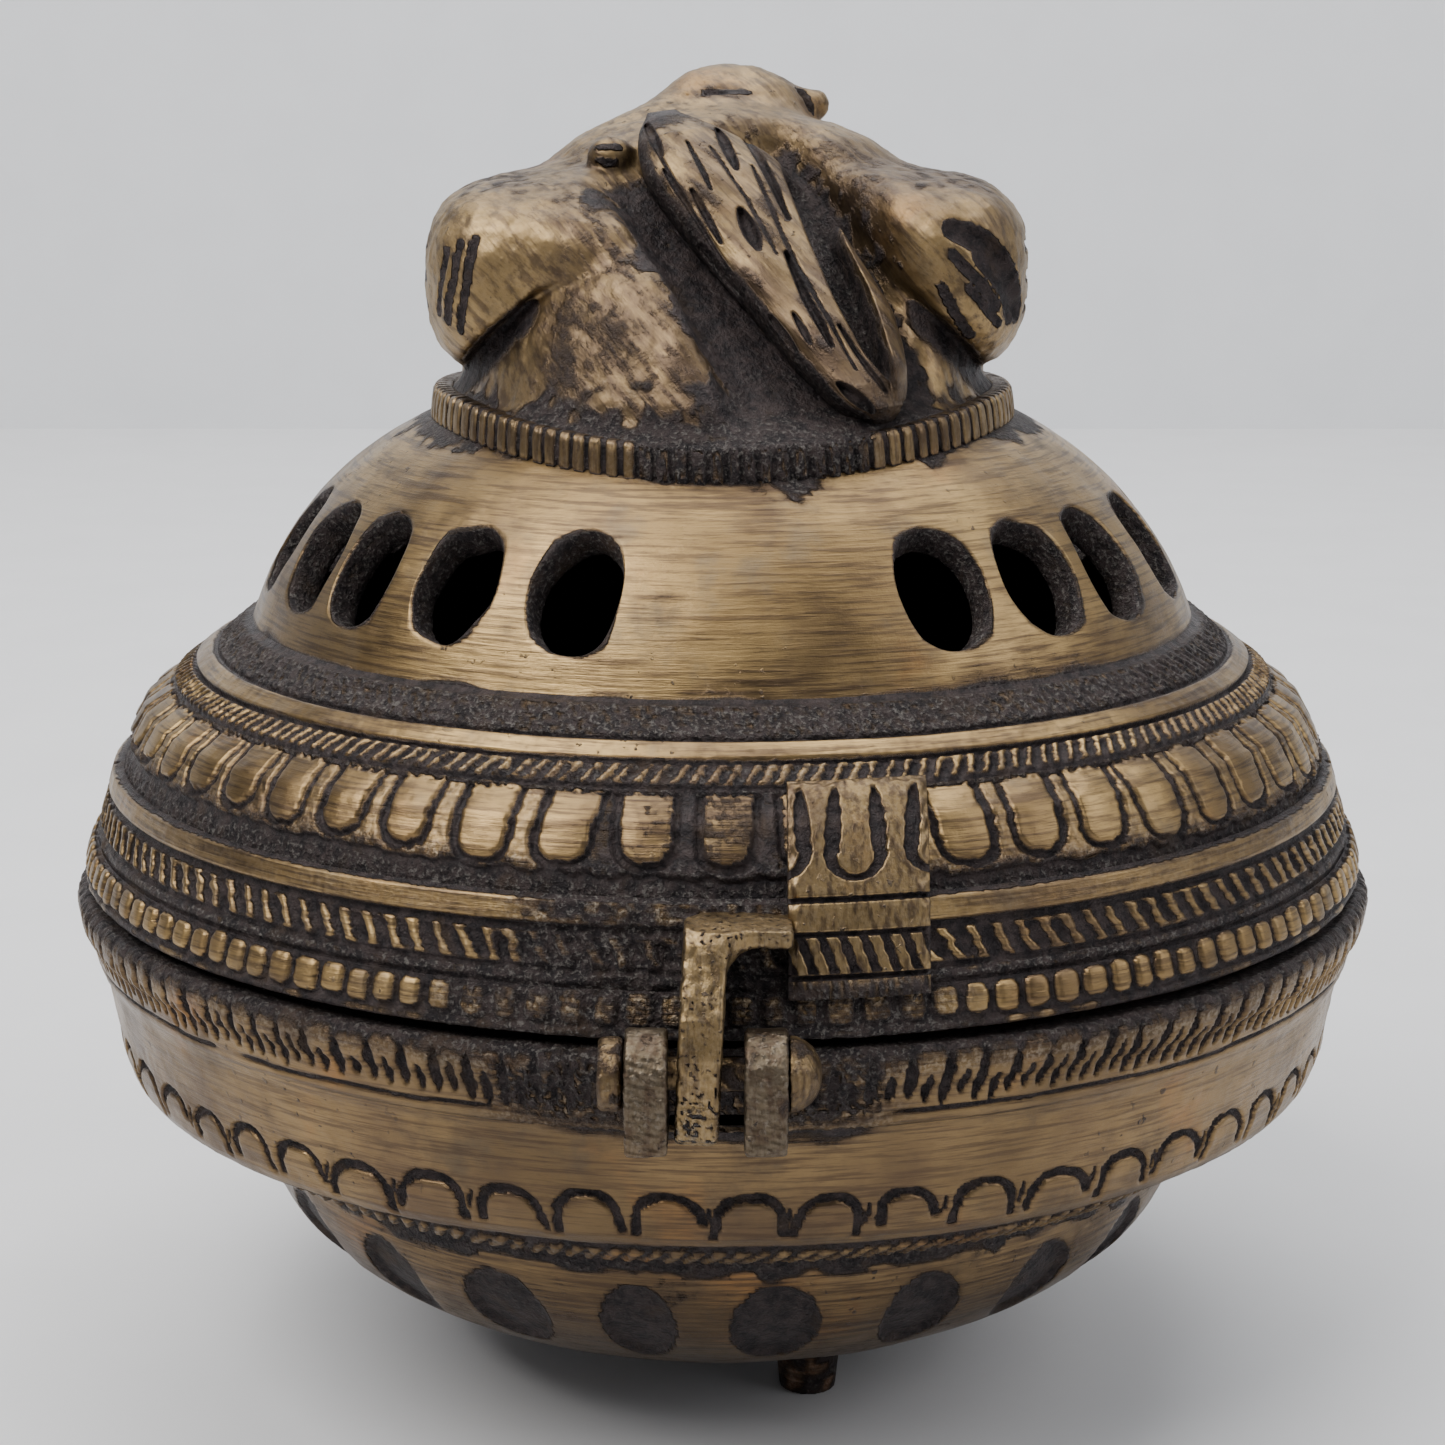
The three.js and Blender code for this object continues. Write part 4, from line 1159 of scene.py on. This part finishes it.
def slab(flat, x, x0, x1, edge):
    """A prism cut to a stretch of X, with rounded edges."""
    flat = flat + edge
    long = np.abs(x - (x0 + x1) / 2) - ((x1 - x0) / 2 - edge)
    return np.hypot(np.maximum(flat, 0), np.maximum(long, 0)) + np.minimum(np.maximum(flat, long), 0) - edge


TONGUE = [(-51.5, 51.2), (-54.6, 52.3), (-56.0, 52.35), (-57.4, 51.2), (-59.8, 46.5), (-60.4, 44.0), (-60.4, 38.5)]
TONGUE += [(-59.9, 37.9), (-56.6, 37.9), (-56.2, 45.6), (-54.3, 47.6), (-51.5, 47.6)]


def tongue_field(x, y, z):
    leaning = x - 0.05 * (z - 45)
    tongue = slab(prism(y, z, TONGUE), leaning, -2.95, 0.03, 0.3)
    bridge = block(x, y, z, (-1.0, -56.2, 50.5), (4.8, -51.5, 51.95), 0.4)
    body = np.maximum(union(tongue, bridge, 2.4), z - 51.95 + 0.04 * x)
    scratches = 0.03 * np.sin(z * 2.3 + 4.2 * x) * np.sin(z * 1.7 - 2.6 * x)
    nick = 0.1 * np.maximum(0, np.sin(z * 2.2 + 2.4 * np.sin(z * 0.9))) * (x < -2.6)
    body = body + nick + scratches
    return cut(body, drum(x, y, z, -5, 5, 1.35, 0.1, (-AXIS_Y, AXIS_Z)), 0.1)


def tongue_tint(points):
    x, y, z = points.T
    pits = noise_at(points, 3.3)
    low = step(42.5, 39.5, z)
    patina_and_shade = 0.05 + 0.7 * step(0.1, 0.4, pits) * low + 0.9 * step(-56.3, -55.3, y) * (z < 51)
    return patina_and_shade + 0.5 * step(0.25, 0.5, pits), 0.2 + 0.7 * low * step(-0.1, 0.3, pits)


def patch_relief(s, x):
    """The leaf's chased face: a tongue, a fillet, slanted bars, a strip and faint blocks."""
    ragged = 0.07 * np.sin(s * 5.1 + 2 * x) * np.cos(x * 6.3 - s)
    deep = [0 * (s + x), raised(s, 10.5, 11.05, 0.22), raised(s, 12.9, 13.4, 0.2), raised(s, 15.85, 16.35, 0.2)]
    for centre, bottom in ((3.95, 9.15), (9.25, 9.35), (14.9, 9.1)):
        px = x - centre + ragged
        round_end = np.hypot(px, s - bottom + 1.8) - 1.8
        away = np.where(s < bottom - 1.8, np.abs(px) - 1.8 + 0.06 * (bottom - s), round_end)
        belly = np.sin(math.pi * np.clip((s - 2.4) / (bottom - 2.2), 0, 1)) ** 0.8
        deep.append(step(0.22 + 0.42 * belly, 0.02 + 0.36 * belly, np.abs(away)) * step(2.4, 2.9, s))
    phase = (x + ragged - 0.36 * (s - 14.6)) / 1.46
    bars = step(0.37, 0.22, np.abs(phase - np.floor(phase) - 0.5))
    deep.append(0.9 * raised(s, 13.1, 15.95, 0.25) * (1 - bars))
    deep = np.maximum.reduce(np.broadcast_arrays(*deep))
    dusk = step(15.6, 17.0, s)
    wear = 0.15 * np.sin(x * 9 + 3 * np.sin(s)) * np.sin(s * 1.3 + x)
    return -0.45 * deep, deep * 1.1 + 0.45 * dusk + 0.18 + wear, 0.15 + 0.5 * dusk + 0 * deep


PLATE = ((46.9, 59.94), (48.3, 58.9), (49.8, 57.4), (51.1, 55.3), (52.0, 53.5), (52.6, 52.2))
PLATE += ((54.2, 47.4), (54.5, 46.3))
PLATE_X = (4.55, 14.5)


def hinge_patch(material):
    """The leaf's plate, bent over the lid's skirt beside the tongue."""
    r, z, nr, nz, s = walk(PLATE, 180)
    down = s[:, None]
    x = np.linspace(*PLATE_X, 124)[None, :]
    height, patina_and_shade, grit = patch_relief(down + 1.6, x)
    edge = np.minimum.reduce(np.broadcast_arrays(x - PLATE_X[0], PLATE_X[1] - x, down, s[-1] - down))
    frayed = edge + 0.25 * np.sin(3.1 * down + 2 * np.sin(1.7 * x)) * np.sin(2.3 * x + down)
    height = height * step(0.1, 0.5, edge) + 0.34 * step(-0.1, 0.75, frayed)
    a = np.arcsin(np.clip(x / (r[:, None] + 0.2), -1, 1)) / (2 * math.pi)
    shell = Shell()
    back = lifted(r, z, nr, nz, -1.0 + 0 * a, a)
    shell.leaf(lifted(r, z, nr, nz, height, a), back, (patina_and_shade, grit), (1.0, 0.5), (0.3, 0.3))
    shell.make("hinge_leaf_plate", LID_BODY, material, "hinge_leaf")


def hinge_tongue(material):
    box = (-4.6, -61.0, 37.2), (6.4, -51.0, 54.0)
    size = 0.14
    carved("hinge_leaf_tongue", *box, size, tongue_field, LID_BODY, material, tint=tongue_tint, wear=0.1)


CLASP_TONGUE = [(55.4, 42.8), (61.2, 43.2), (61.1, 44.2), (59.8, 47.0), (56.8, 51.4), (55.0, 52.5), (51.5, 52.2)]
CLASP_TONGUE += [(51.5, 47.6), (53.8, 47.6), (55.3, 45.4)]


def clasp_field(x, y, z):
    """The clasp's tongue: a bent strip that ends in a round eye."""
    centre = (AXIS_Y, AXIS_Z)
    strip = slab(prism(y, z, CLASP_TONGUE), x, -1.6, 1.6, 0.35)
    body = union(strip, drum(x, y, z, -1.6, 1.6, 3.1, 0.35, centre), 0.5)
    return cut(body, drum(x, y, z, -3, 3, 1.6, 0.1, centre), 0.1)


def clasp_pin_field(x, y, z):
    """The clasp's pin, standing clear of the ears: a shaft, a washer, a neck and a round knob."""
    centre = (AXIS_Y, AXIS_Z)
    stop = CLASP_EARS[1] + EAR_THICK + PIN_PULL + 0.25
    shaft = drum(x, y, z, CLASP_EARS[1] + 0.1, stop + 1, 1.12, 0.35, centre)
    washer = drum(x, y, z, stop, stop + 0.75, 1.9, 0.2, centre)
    neck = drum(x, y, z, stop, stop + 2.2, 1.15, 0.1, centre)
    knob = ball(x, y, z, (stop + 2.8, *centre), (1.9, 2.3, 2.3))
    return union(union(union(shaft, washer, 0.2), neck, 0.2), knob, 0.4)


def clasp(tongue_material, pin_material):
    box, tint = ((-2.1, 51.0, 38.2), (2.1, 60.8, 53.4)), metal_tint(0.08, 44)
    carved("clasp_tongue_cast", *box, 0.15, clasp_field, LID_BODY, tongue_material, "clasp_tongue", tint=tint, wear=0.1)
    box, tint = ((1.7, 55.4, 39.6), (17.0, 61.0, 45.2)), metal_tint(0.1, 51)
    carved("clasp_pin_turned", *box, 0.14, clasp_pin_field, PIN_BODY, pin_material, "clasp_pin", tint=tint, wear=0.05)


def foot_tint(points):
    return 0.45 + 0.6 * noise_at(points, 0.8), np.full(len(points), 0.5)


def feet(material):
    """Short stubs that are cast on, worn flat underneath."""
    for i in range(3):
        angle = math.radians(FIRST_FOOT + 120 * i)
        cx, cy = FOOT_REACH * math.sin(angle), -FOOT_REACH * math.cos(angle)

        def field(x, y, z, cx=cx, cy=cy):
            stub = np.hypot(x - cx, y - cy) - (2.35 + 0.1 * np.maximum(z, 0) + 0.5 * np.maximum(0, z - 3.6))
            return np.maximum(stub, np.maximum(0.02 - z, z - 6.2))

        box = (cx - 4.0, cy - 4.0, -0.3), (cx + 4.0, cy + 4.0, 6.6)
        carved(f"foot_{i + 1}_stub", *box, 0.16, field, BOWL_BODY, material, f"foot_{i + 1}", tint=foot_tint)


CUP_OUTSIDE = ((AXIS_HOLE, 6.5), (13.6, 6.5), (15, 6.7), (22, 8.6), (28, 14), (31, 21))
CUP_OUTSIDE += ((31.8, 26.2), (32.5, 26.8), (32.85, 27.4))
CUP_INSIDE = ((32.6, 28.0), (31.7, 28.25), (30.7, 27.6), (30.3, 26.6), (29.6, 21.3), (26.8, 14.8), (21.3, 10.0))
CUP_INSIDE += ((14.2, 8.0), (13, 7.9), (AXIS_HOLE, 7.9))


def ember_cup(material):
    """A plain spun liner with a rolled lip, sooty inside."""
    path, along = measured(CUP_OUTSIDE + CUP_INSIDE)
    s = np.linspace(0, along[-1], 170)
    line = np.stack([np.interp(s, along, path[:, k]) for k in (0, 1)])
    for _ in range(6):  # soften its corners
        line[:, 1:-1] = (line[:, :-2] + 2 * line[:, 1:-1] + line[:, 2:]) / 4
    r, z, down, share = (v[:, None] for v in (*line, s, s / s[-1]))
    a = around(288)
    r = r + 0.06 * grain(down, a, 9, 26, 131) * step(3, 12, r)
    soot = step(0.47, 0.58, share) * (0.8 + 0.25 * grain(down, a, 4, 40, 132))
    lip = step(0.42, 0.46, share) * step(0.54, 0.5, share)
    patina_and_shade = 0.55 + 0.3 * grain(down, a, 5, 30, 133) + soot - 0.35 * lip
    faces = grid_faces(len(s), a.size, False)[:, ::-1]
    mesh_object("ember_cup_spun", placed(r, z, a), faces, patina_and_shade, 0.2 + 0.6 * soot, CUP_BODY, material, "ember_cup")


# ---------------------------------------------------------------- materials


class Nodes:
    """Short calls for building one material's nodes."""

    def __init__(self, name):
        self.material = bpy.data.materials.new(name)
        self.material.use_nodes = True
        self.tree = self.material.node_tree
        self.tree.nodes.clear()
        self.coords = self.add("ShaderNodeTexCoord").outputs["Object"]

    def add(self, kind, inputs=None, **settings):
        """A node with its settings, and with its inputs set, or linked to other nodes' outputs."""
        node = self.tree.nodes.new(kind)
        for key, value in settings.items():
            setattr(node, key, value)
        for key, value in (inputs or {}).items():
            socket = node.inputs[key]
            if isinstance(value, bpy.types.NodeSocket):
                self.tree.links.new(value, socket)
            else:
                socket.default_value = (*value, 1) if socket.type == "RGBA" else value
        return node

    def math(self, operation, a, b, clamp=False):
        return self.add("ShaderNodeMath", {0: a, 1: b}, operation=operation, use_clamp=clamp).outputs[0]

    def plus(self, a, b, clamp=False):
        return self.math("ADD", a, b, clamp)

    def times(self, a, b, clamp=False):
        return self.math("MULTIPLY", a, b, clamp)

    def stirred(self, value, by, amount):
        """A value moved up and down by a noise."""
        return self.plus(value, self.times(self.math("SUBTRACT", by, 0.5), amount))

    def ramp(self, source, low, high, to_low=0.0, to_high=1.0):
        inputs = {"Value": source, "From Min": low, "From Max": high, "To Min": to_low, "To Max": to_high}
        return self.add("ShaderNodeMapRange", inputs, interpolation_type="SMOOTHSTEP").outputs[0]

    def mix(self, factor, a, b):
        return self.add("ShaderNodeMix", {0: factor, 6: a, 7: b}, data_type="RGBA").outputs[2]

    def noise(self, scale, detail=4.0, rough=0.55, offset=(0, 0, 0), stretch=(1, 1, 1), turn=(0, 0, 0)):
        turned = self.add("ShaderNodeMapping", {"Vector": self.coords, "Rotation": turn})
        inputs = {"Vector": turned.outputs[0], "Scale": stretch, "Location": offset}
        place = self.add("ShaderNodeMapping", inputs).outputs[0]
        inputs = {"Vector": place, "Scale": scale, "Detail": detail, "Roughness": rough}
        return self.add("ShaderNodeTexNoise", inputs).outputs["Fac"]

    def attribute(self, name):
        return self.add("ShaderNodeAttribute", attribute_name=name).outputs["Fac"]

    def bump(self, height, strength, distance, below=None):
        inputs = {"Strength": strength, "Distance": distance, "Height": height}
        if below is not None:
            inputs["Normal"] = below
        return self.add("ShaderNodeBump", inputs).outputs[0]

    def surface(self, inputs):
        """Finishes the material with these inputs of its shader."""
        shader = self.add("ShaderNodeBsdfPrincipled", inputs).outputs[0]
        self.add("ShaderNodeOutputMaterial", {"Surface": shader})
        return self.material


# The near-black of patina, which also colours the painted shade that the patina marks carry.
PATINA_AND_SHADE = (0.011, 0.0085, 0.0095)
WARM = (0.27, 0.135, 0.05)
LINE, FINE_LINE = (0.075, 0.05, 0.033), (0.045, 0.032, 0.026)
SMOKE, VEIL = (0.085, 0.055, 0.038), (0.062, 0.041, 0.028)
CRUST, BROWN, DUST, SAND = (0.26, 0.235, 0.20), (0.046, 0.03, 0.02), (0.036, 0.026, 0.025), (0.12, 0.11, 0.1)


def aged_brass(name, colours, brush, gloss, stain=1.0, turn=(0, 0, 0), bare=1.0, patina_and_shade_colour=PATINA_AND_SHADE):
    """Brass darkened where the mesh's marks say, by patina and on some pieces by painted shade, with brushed lines,
    pits, stains and rough grey places.

    colours are light, mid and grey. brush is the stretch of the brushed lines, in the part's own
    directions turned by turn. bare is how metallic it looks where there is no patina.
    """
    light, mid, grey = colours
    n = Nodes(name)
    patina_and_shade, grit = n.attribute("patina_and_shade"), n.attribute("grit")
    broad = n.noise(34, 4, 0.6)
    cloud = n.noise(170, 6, 0.65, (3, 1, 7))
    fray = n.noise(760, 5, 0.7, (6, 2, 4))
    lines = n.noise(1.0, 4, 0.6, stretch=brush, turn=turn)
    fine_lines = n.noise(3.1, 4, 0.75, (5, 2, 9), brush, turn)
    speck = n.noise(2900, 3, 0.65)
    pits = n.noise(1250, 2, 0.5, (9, 4, 2))

    metal = n.mix(n.ramp(broad, 0.40, 0.62), mid, light)
    metal = n.mix(n.ramp(cloud, 0.5, 0.72, 0.0, 0.7), metal, grey)
    metal = n.mix(n.ramp(n.noise(85, 5, offset=(1, 8, 3)), 0.58, 0.74, 0.0, 0.7 * stain), metal, WARM)
    metal = n.mix(n.ramp(lines, 0.47, 0.62, 0.0, 0.62), metal, LINE)
    metal = n.mix(n.ramp(fine_lines, 0.53, 0.72, 0.0, 0.6), metal, FINE_LINE)
    crust = n.mix(n.ramp(speck, 0.42, 0.62), patina_and_shade_colour, CRUST)
    metal = n.mix(n.times(grit, 0.8, True), metal, crust)
    metal = n.mix(n.ramp(n.noise(60, 5, 0.62, (4, 9, 2)), 0.46, 0.70, 0.0, 0.6), metal, SMOKE)
    veil = n.stirred(n.stirred(patina_and_shade, lines, 0.7), cloud, 0.2)
    metal = n.mix(n.ramp(veil, 0.06, 0.5, 0.0, 0.8), metal, VEIL)

    pit_mask = n.times(n.ramp(pits, 0.66, 0.72), n.ramp(broad, 0.5, 0.62))
    frayed = n.stirred(n.stirred(n.stirred(patina_and_shade, cloud, 0.6), fray, 0.6), lines, 0.45)
    dark = n.math("MAXIMUM", n.ramp(frayed, 0.32, 0.74), n.times(pit_mask, 0.8))
    dusk = n.mix(n.ramp(fray, 0.38, 0.62), patina_and_shade_colour, DUST)
    dusk = n.mix(n.ramp(cloud, 0.54, 0.7, 0.0, 0.8), dusk, BROWN)
    sandy = n.times(n.ramp(speck, 0.5, 0.68), n.ramp(grit, 0.1, 0.8, 0.08, 0.8))
    colour = n.mix(dark, metal, n.mix(sandy, dusk, SAND))

    relief = n.bump(fine_lines, 0.5, 0.00005)
    relief = n.bump(lines, 0.5, 0.0001, relief)
    relief = n.bump(n.times(fray, n.ramp(dark, 0.0, 1.0, 0.05, 1.0)), 0.9, 0.0005, relief)
    relief = n.bump(pit_mask, 0.6, -0.0001, relief)
    rough_places = n.ramp(n.plus(grit, n.times(dark, 0.45)), 0.0, 1.2, 0.05, 1.0)
    relief = n.bump(n.times(speck, rough_places), 1.0, 0.0003, relief)
    worn = n.plus(n.ramp(cloud, 0.3, 0.75, gloss, gloss + 0.18), n.times(grit, 0.12))
    shine = {
        "Base Color": colour,
        "Metallic": n.ramp(dark, 0.0, 1.0, bare, 0.3),
        "Roughness": n.plus(worn, n.times(dark, 0.1), True),
        "Specular IOR Level": n.ramp(dark, 0.0, 1.0, 0.5, 0.22),
        "Normal": relief,
    }
    return n.surface(shine)


def plain_ground(name, colour, roughness):
    n = Nodes(name)
    blotches = n.ramp(n.noise(40, 6), 0.35, 0.7)
    return n.surface({"Base Color": n.mix(blotches, colour, tuple(c * 0.97 for c in colour)), "Roughness": roughness})


AROUND = (150, 150, 3600)  # brushed lines that run round the axis
DOWNWARD = (1900, 1900, 230)  # lines that run down a piece
SLANTED = (1300, 1300, 150)  # lines along the third axis, once turned by SLANT
SLANT = (0.598, 0.644, 0)


# ---------------------------------------------------------------- stage, camera and light


def placed_object(name, data, place=(0, 0, 0)):
    """An object in the scene that isn't part of the censer."""
    item = bpy.data.objects.new(name, data)
    item.location = place
    bpy.context.collection.objects.link(item)
    return item


def stage():
    floor = plain_ground("pale_table", (0.66, 0.66, 0.67), 0.55)
    wall = plain_ground("pale_backdrop", (0.72, 0.73, 0.75), 0.9)
    half, back = 3, 0.7
    sheets = (
        ("table_top", floor, [(-half, -half, 0), (half, -half, 0), (half, back, 0), (-half, back, 0)]),
        ("backdrop", wall, [(-half, back, -0.4), (half, back, -0.4), (half, back, half), (-half, back, half)]),
    )
    for name, material, corners in sheets:
        mesh = bpy.data.meshes.new(name)
        mesh.from_pydata(corners, [], [(0, 1, 2, 3)])
        mesh.materials.append(material)
        placed_object(name, mesh)


def area_light(name, place, target, size, power, colour):
    data = bpy.data.lights.new(name, "AREA")
    data.shape = "RECTANGLE"
    data.size, data.size_y = size
    data.energy = power
    data.color = colour
    lamp = placed_object(name, data, place)
    lamp.rotation_euler = (Vector(target) - Vector(place)).to_track_quat("-Z", "Y").to_euler()


def lights():
    area_light("window", (-0.5, -0.35, 0.85), (0, 0, 0.06), (0.8, 0.6), 13.0, (1.0, 0.985, 0.96))
    area_light("room", (0.8, -0.25, 0.6), (0, 0, 0.06), (0.7, 0.7), 4.5, (0.97, 0.98, 1.0))
    area_light("overhead", (0.05, 0.3, 1.0), (0, 0, 0.05), (1.0, 0.7), 10.0, (1.0, 1.0, 1.0))
    world = bpy.data.worlds.new("soft_room")
    bpy.context.scene.world = world
    world.use_nodes = True
    tree = world.node_tree
    background = tree.nodes["Background"]
    background.inputs["Color"].default_value = (0.82, 0.85, 0.9, 1)
    # The room is brighter overhead than behind the camera.
    place = tree.nodes.new("ShaderNodeTexCoord")
    split = tree.nodes.new("ShaderNodeSeparateXYZ")
    rise = tree.nodes.new("ShaderNodeMapRange")
    tree.links.new(place.outputs["Generated"], split.inputs[0])
    tree.links.new(split.outputs["Z"], rise.inputs["Value"])
    for socket, value in (("From Min", -0.05), ("From Max", 0.75), ("To Min", 0.1), ("To Max", 0.5)):
        rise.inputs[socket].default_value = value
    tree.links.new(rise.outputs[0], background.inputs["Strength"])


def camera():
    """The photograph's camera, fitted to its silhouette: on the hinge's side, looking slightly down."""
    data = bpy.data.cameras.new("camera")
    data.sensor_width = 36
    data.lens = 69.76
    data.clip_start = 0.01
    view = placed_object("camera", data, (0, -0.238, 0.1065))
    view.rotation_euler = (math.radians(90 - 12.47), 0, 0)
    bpy.context.scene.camera = view


# ---------------------------------------------------------------- the whole


# Light, mid and grey colours of each brass.
CAST = ((0.365, 0.245, 0.106), (0.22, 0.145, 0.066), (0.165, 0.13, 0.088))
# The bowl's brass is a darker copy of the lid's cast brass: partly darker patina, partly painted shade of the less lit
# lower parts.
BOWL = ((0.235, 0.157, 0.076), (0.125, 0.084, 0.044), (0.095, 0.074, 0.053))
CARVED = ((0.3, 0.205, 0.094), (0.205, 0.138, 0.065), (0.135, 0.102, 0.065))
WORN = ((0.28, 0.192, 0.09), (0.175, 0.118, 0.057), (0.14, 0.104, 0.06))
PALE = ((0.125, 0.096, 0.063), (0.095, 0.073, 0.048), (0.08, 0.063, 0.044))
SOOTY = ((0.33, 0.24, 0.14), (0.24, 0.17, 0.10), (0.18, 0.16, 0.13))
REDDISH = ((0.36, 0.20, 0.12), (0.27, 0.14, 0.08), (0.25, 0.19, 0.14))


def build():
    cast = aged_brass("aged_cast_brass", CAST, AROUND, 0.3)
    bowl_brass = aged_brass("bowl_brass", BOWL, AROUND, 0.3)
    bird_brass = aged_brass("carved_brass", CARVED, SLANTED, 0.36, 0.6, SLANT, 0.9)
    worn = aged_brass("worn_brass", WORN, DOWNWARD, 0.33)
    pale = aged_brass("pale_filed_brass", PALE, (1500, 1500, 300), 0.36, 0.2)
    sooty = aged_brass("sooty_brass", SOOTY, AROUND, 0.42, patina_and_shade_colour=(0.014, 0.012, 0.011))
    reddish = aged_brass("reddish_brass", REDDISH, AROUND, 0.4)

    camera()
    bowl(bowl_brass)
    bowl_bands(bowl_brass)
    lid(cast)
    lid_bands(cast)
    collar(worn)
    bird(bird_brass)
    hinge_patch(worn)
    hinge_tongue(worn)
    ears(pale)
    hinge_pin(worn)
    clasp(worn, pale)
    feet(reddish)
    ember_cup(sooty)
    stage()
    lights()


build()
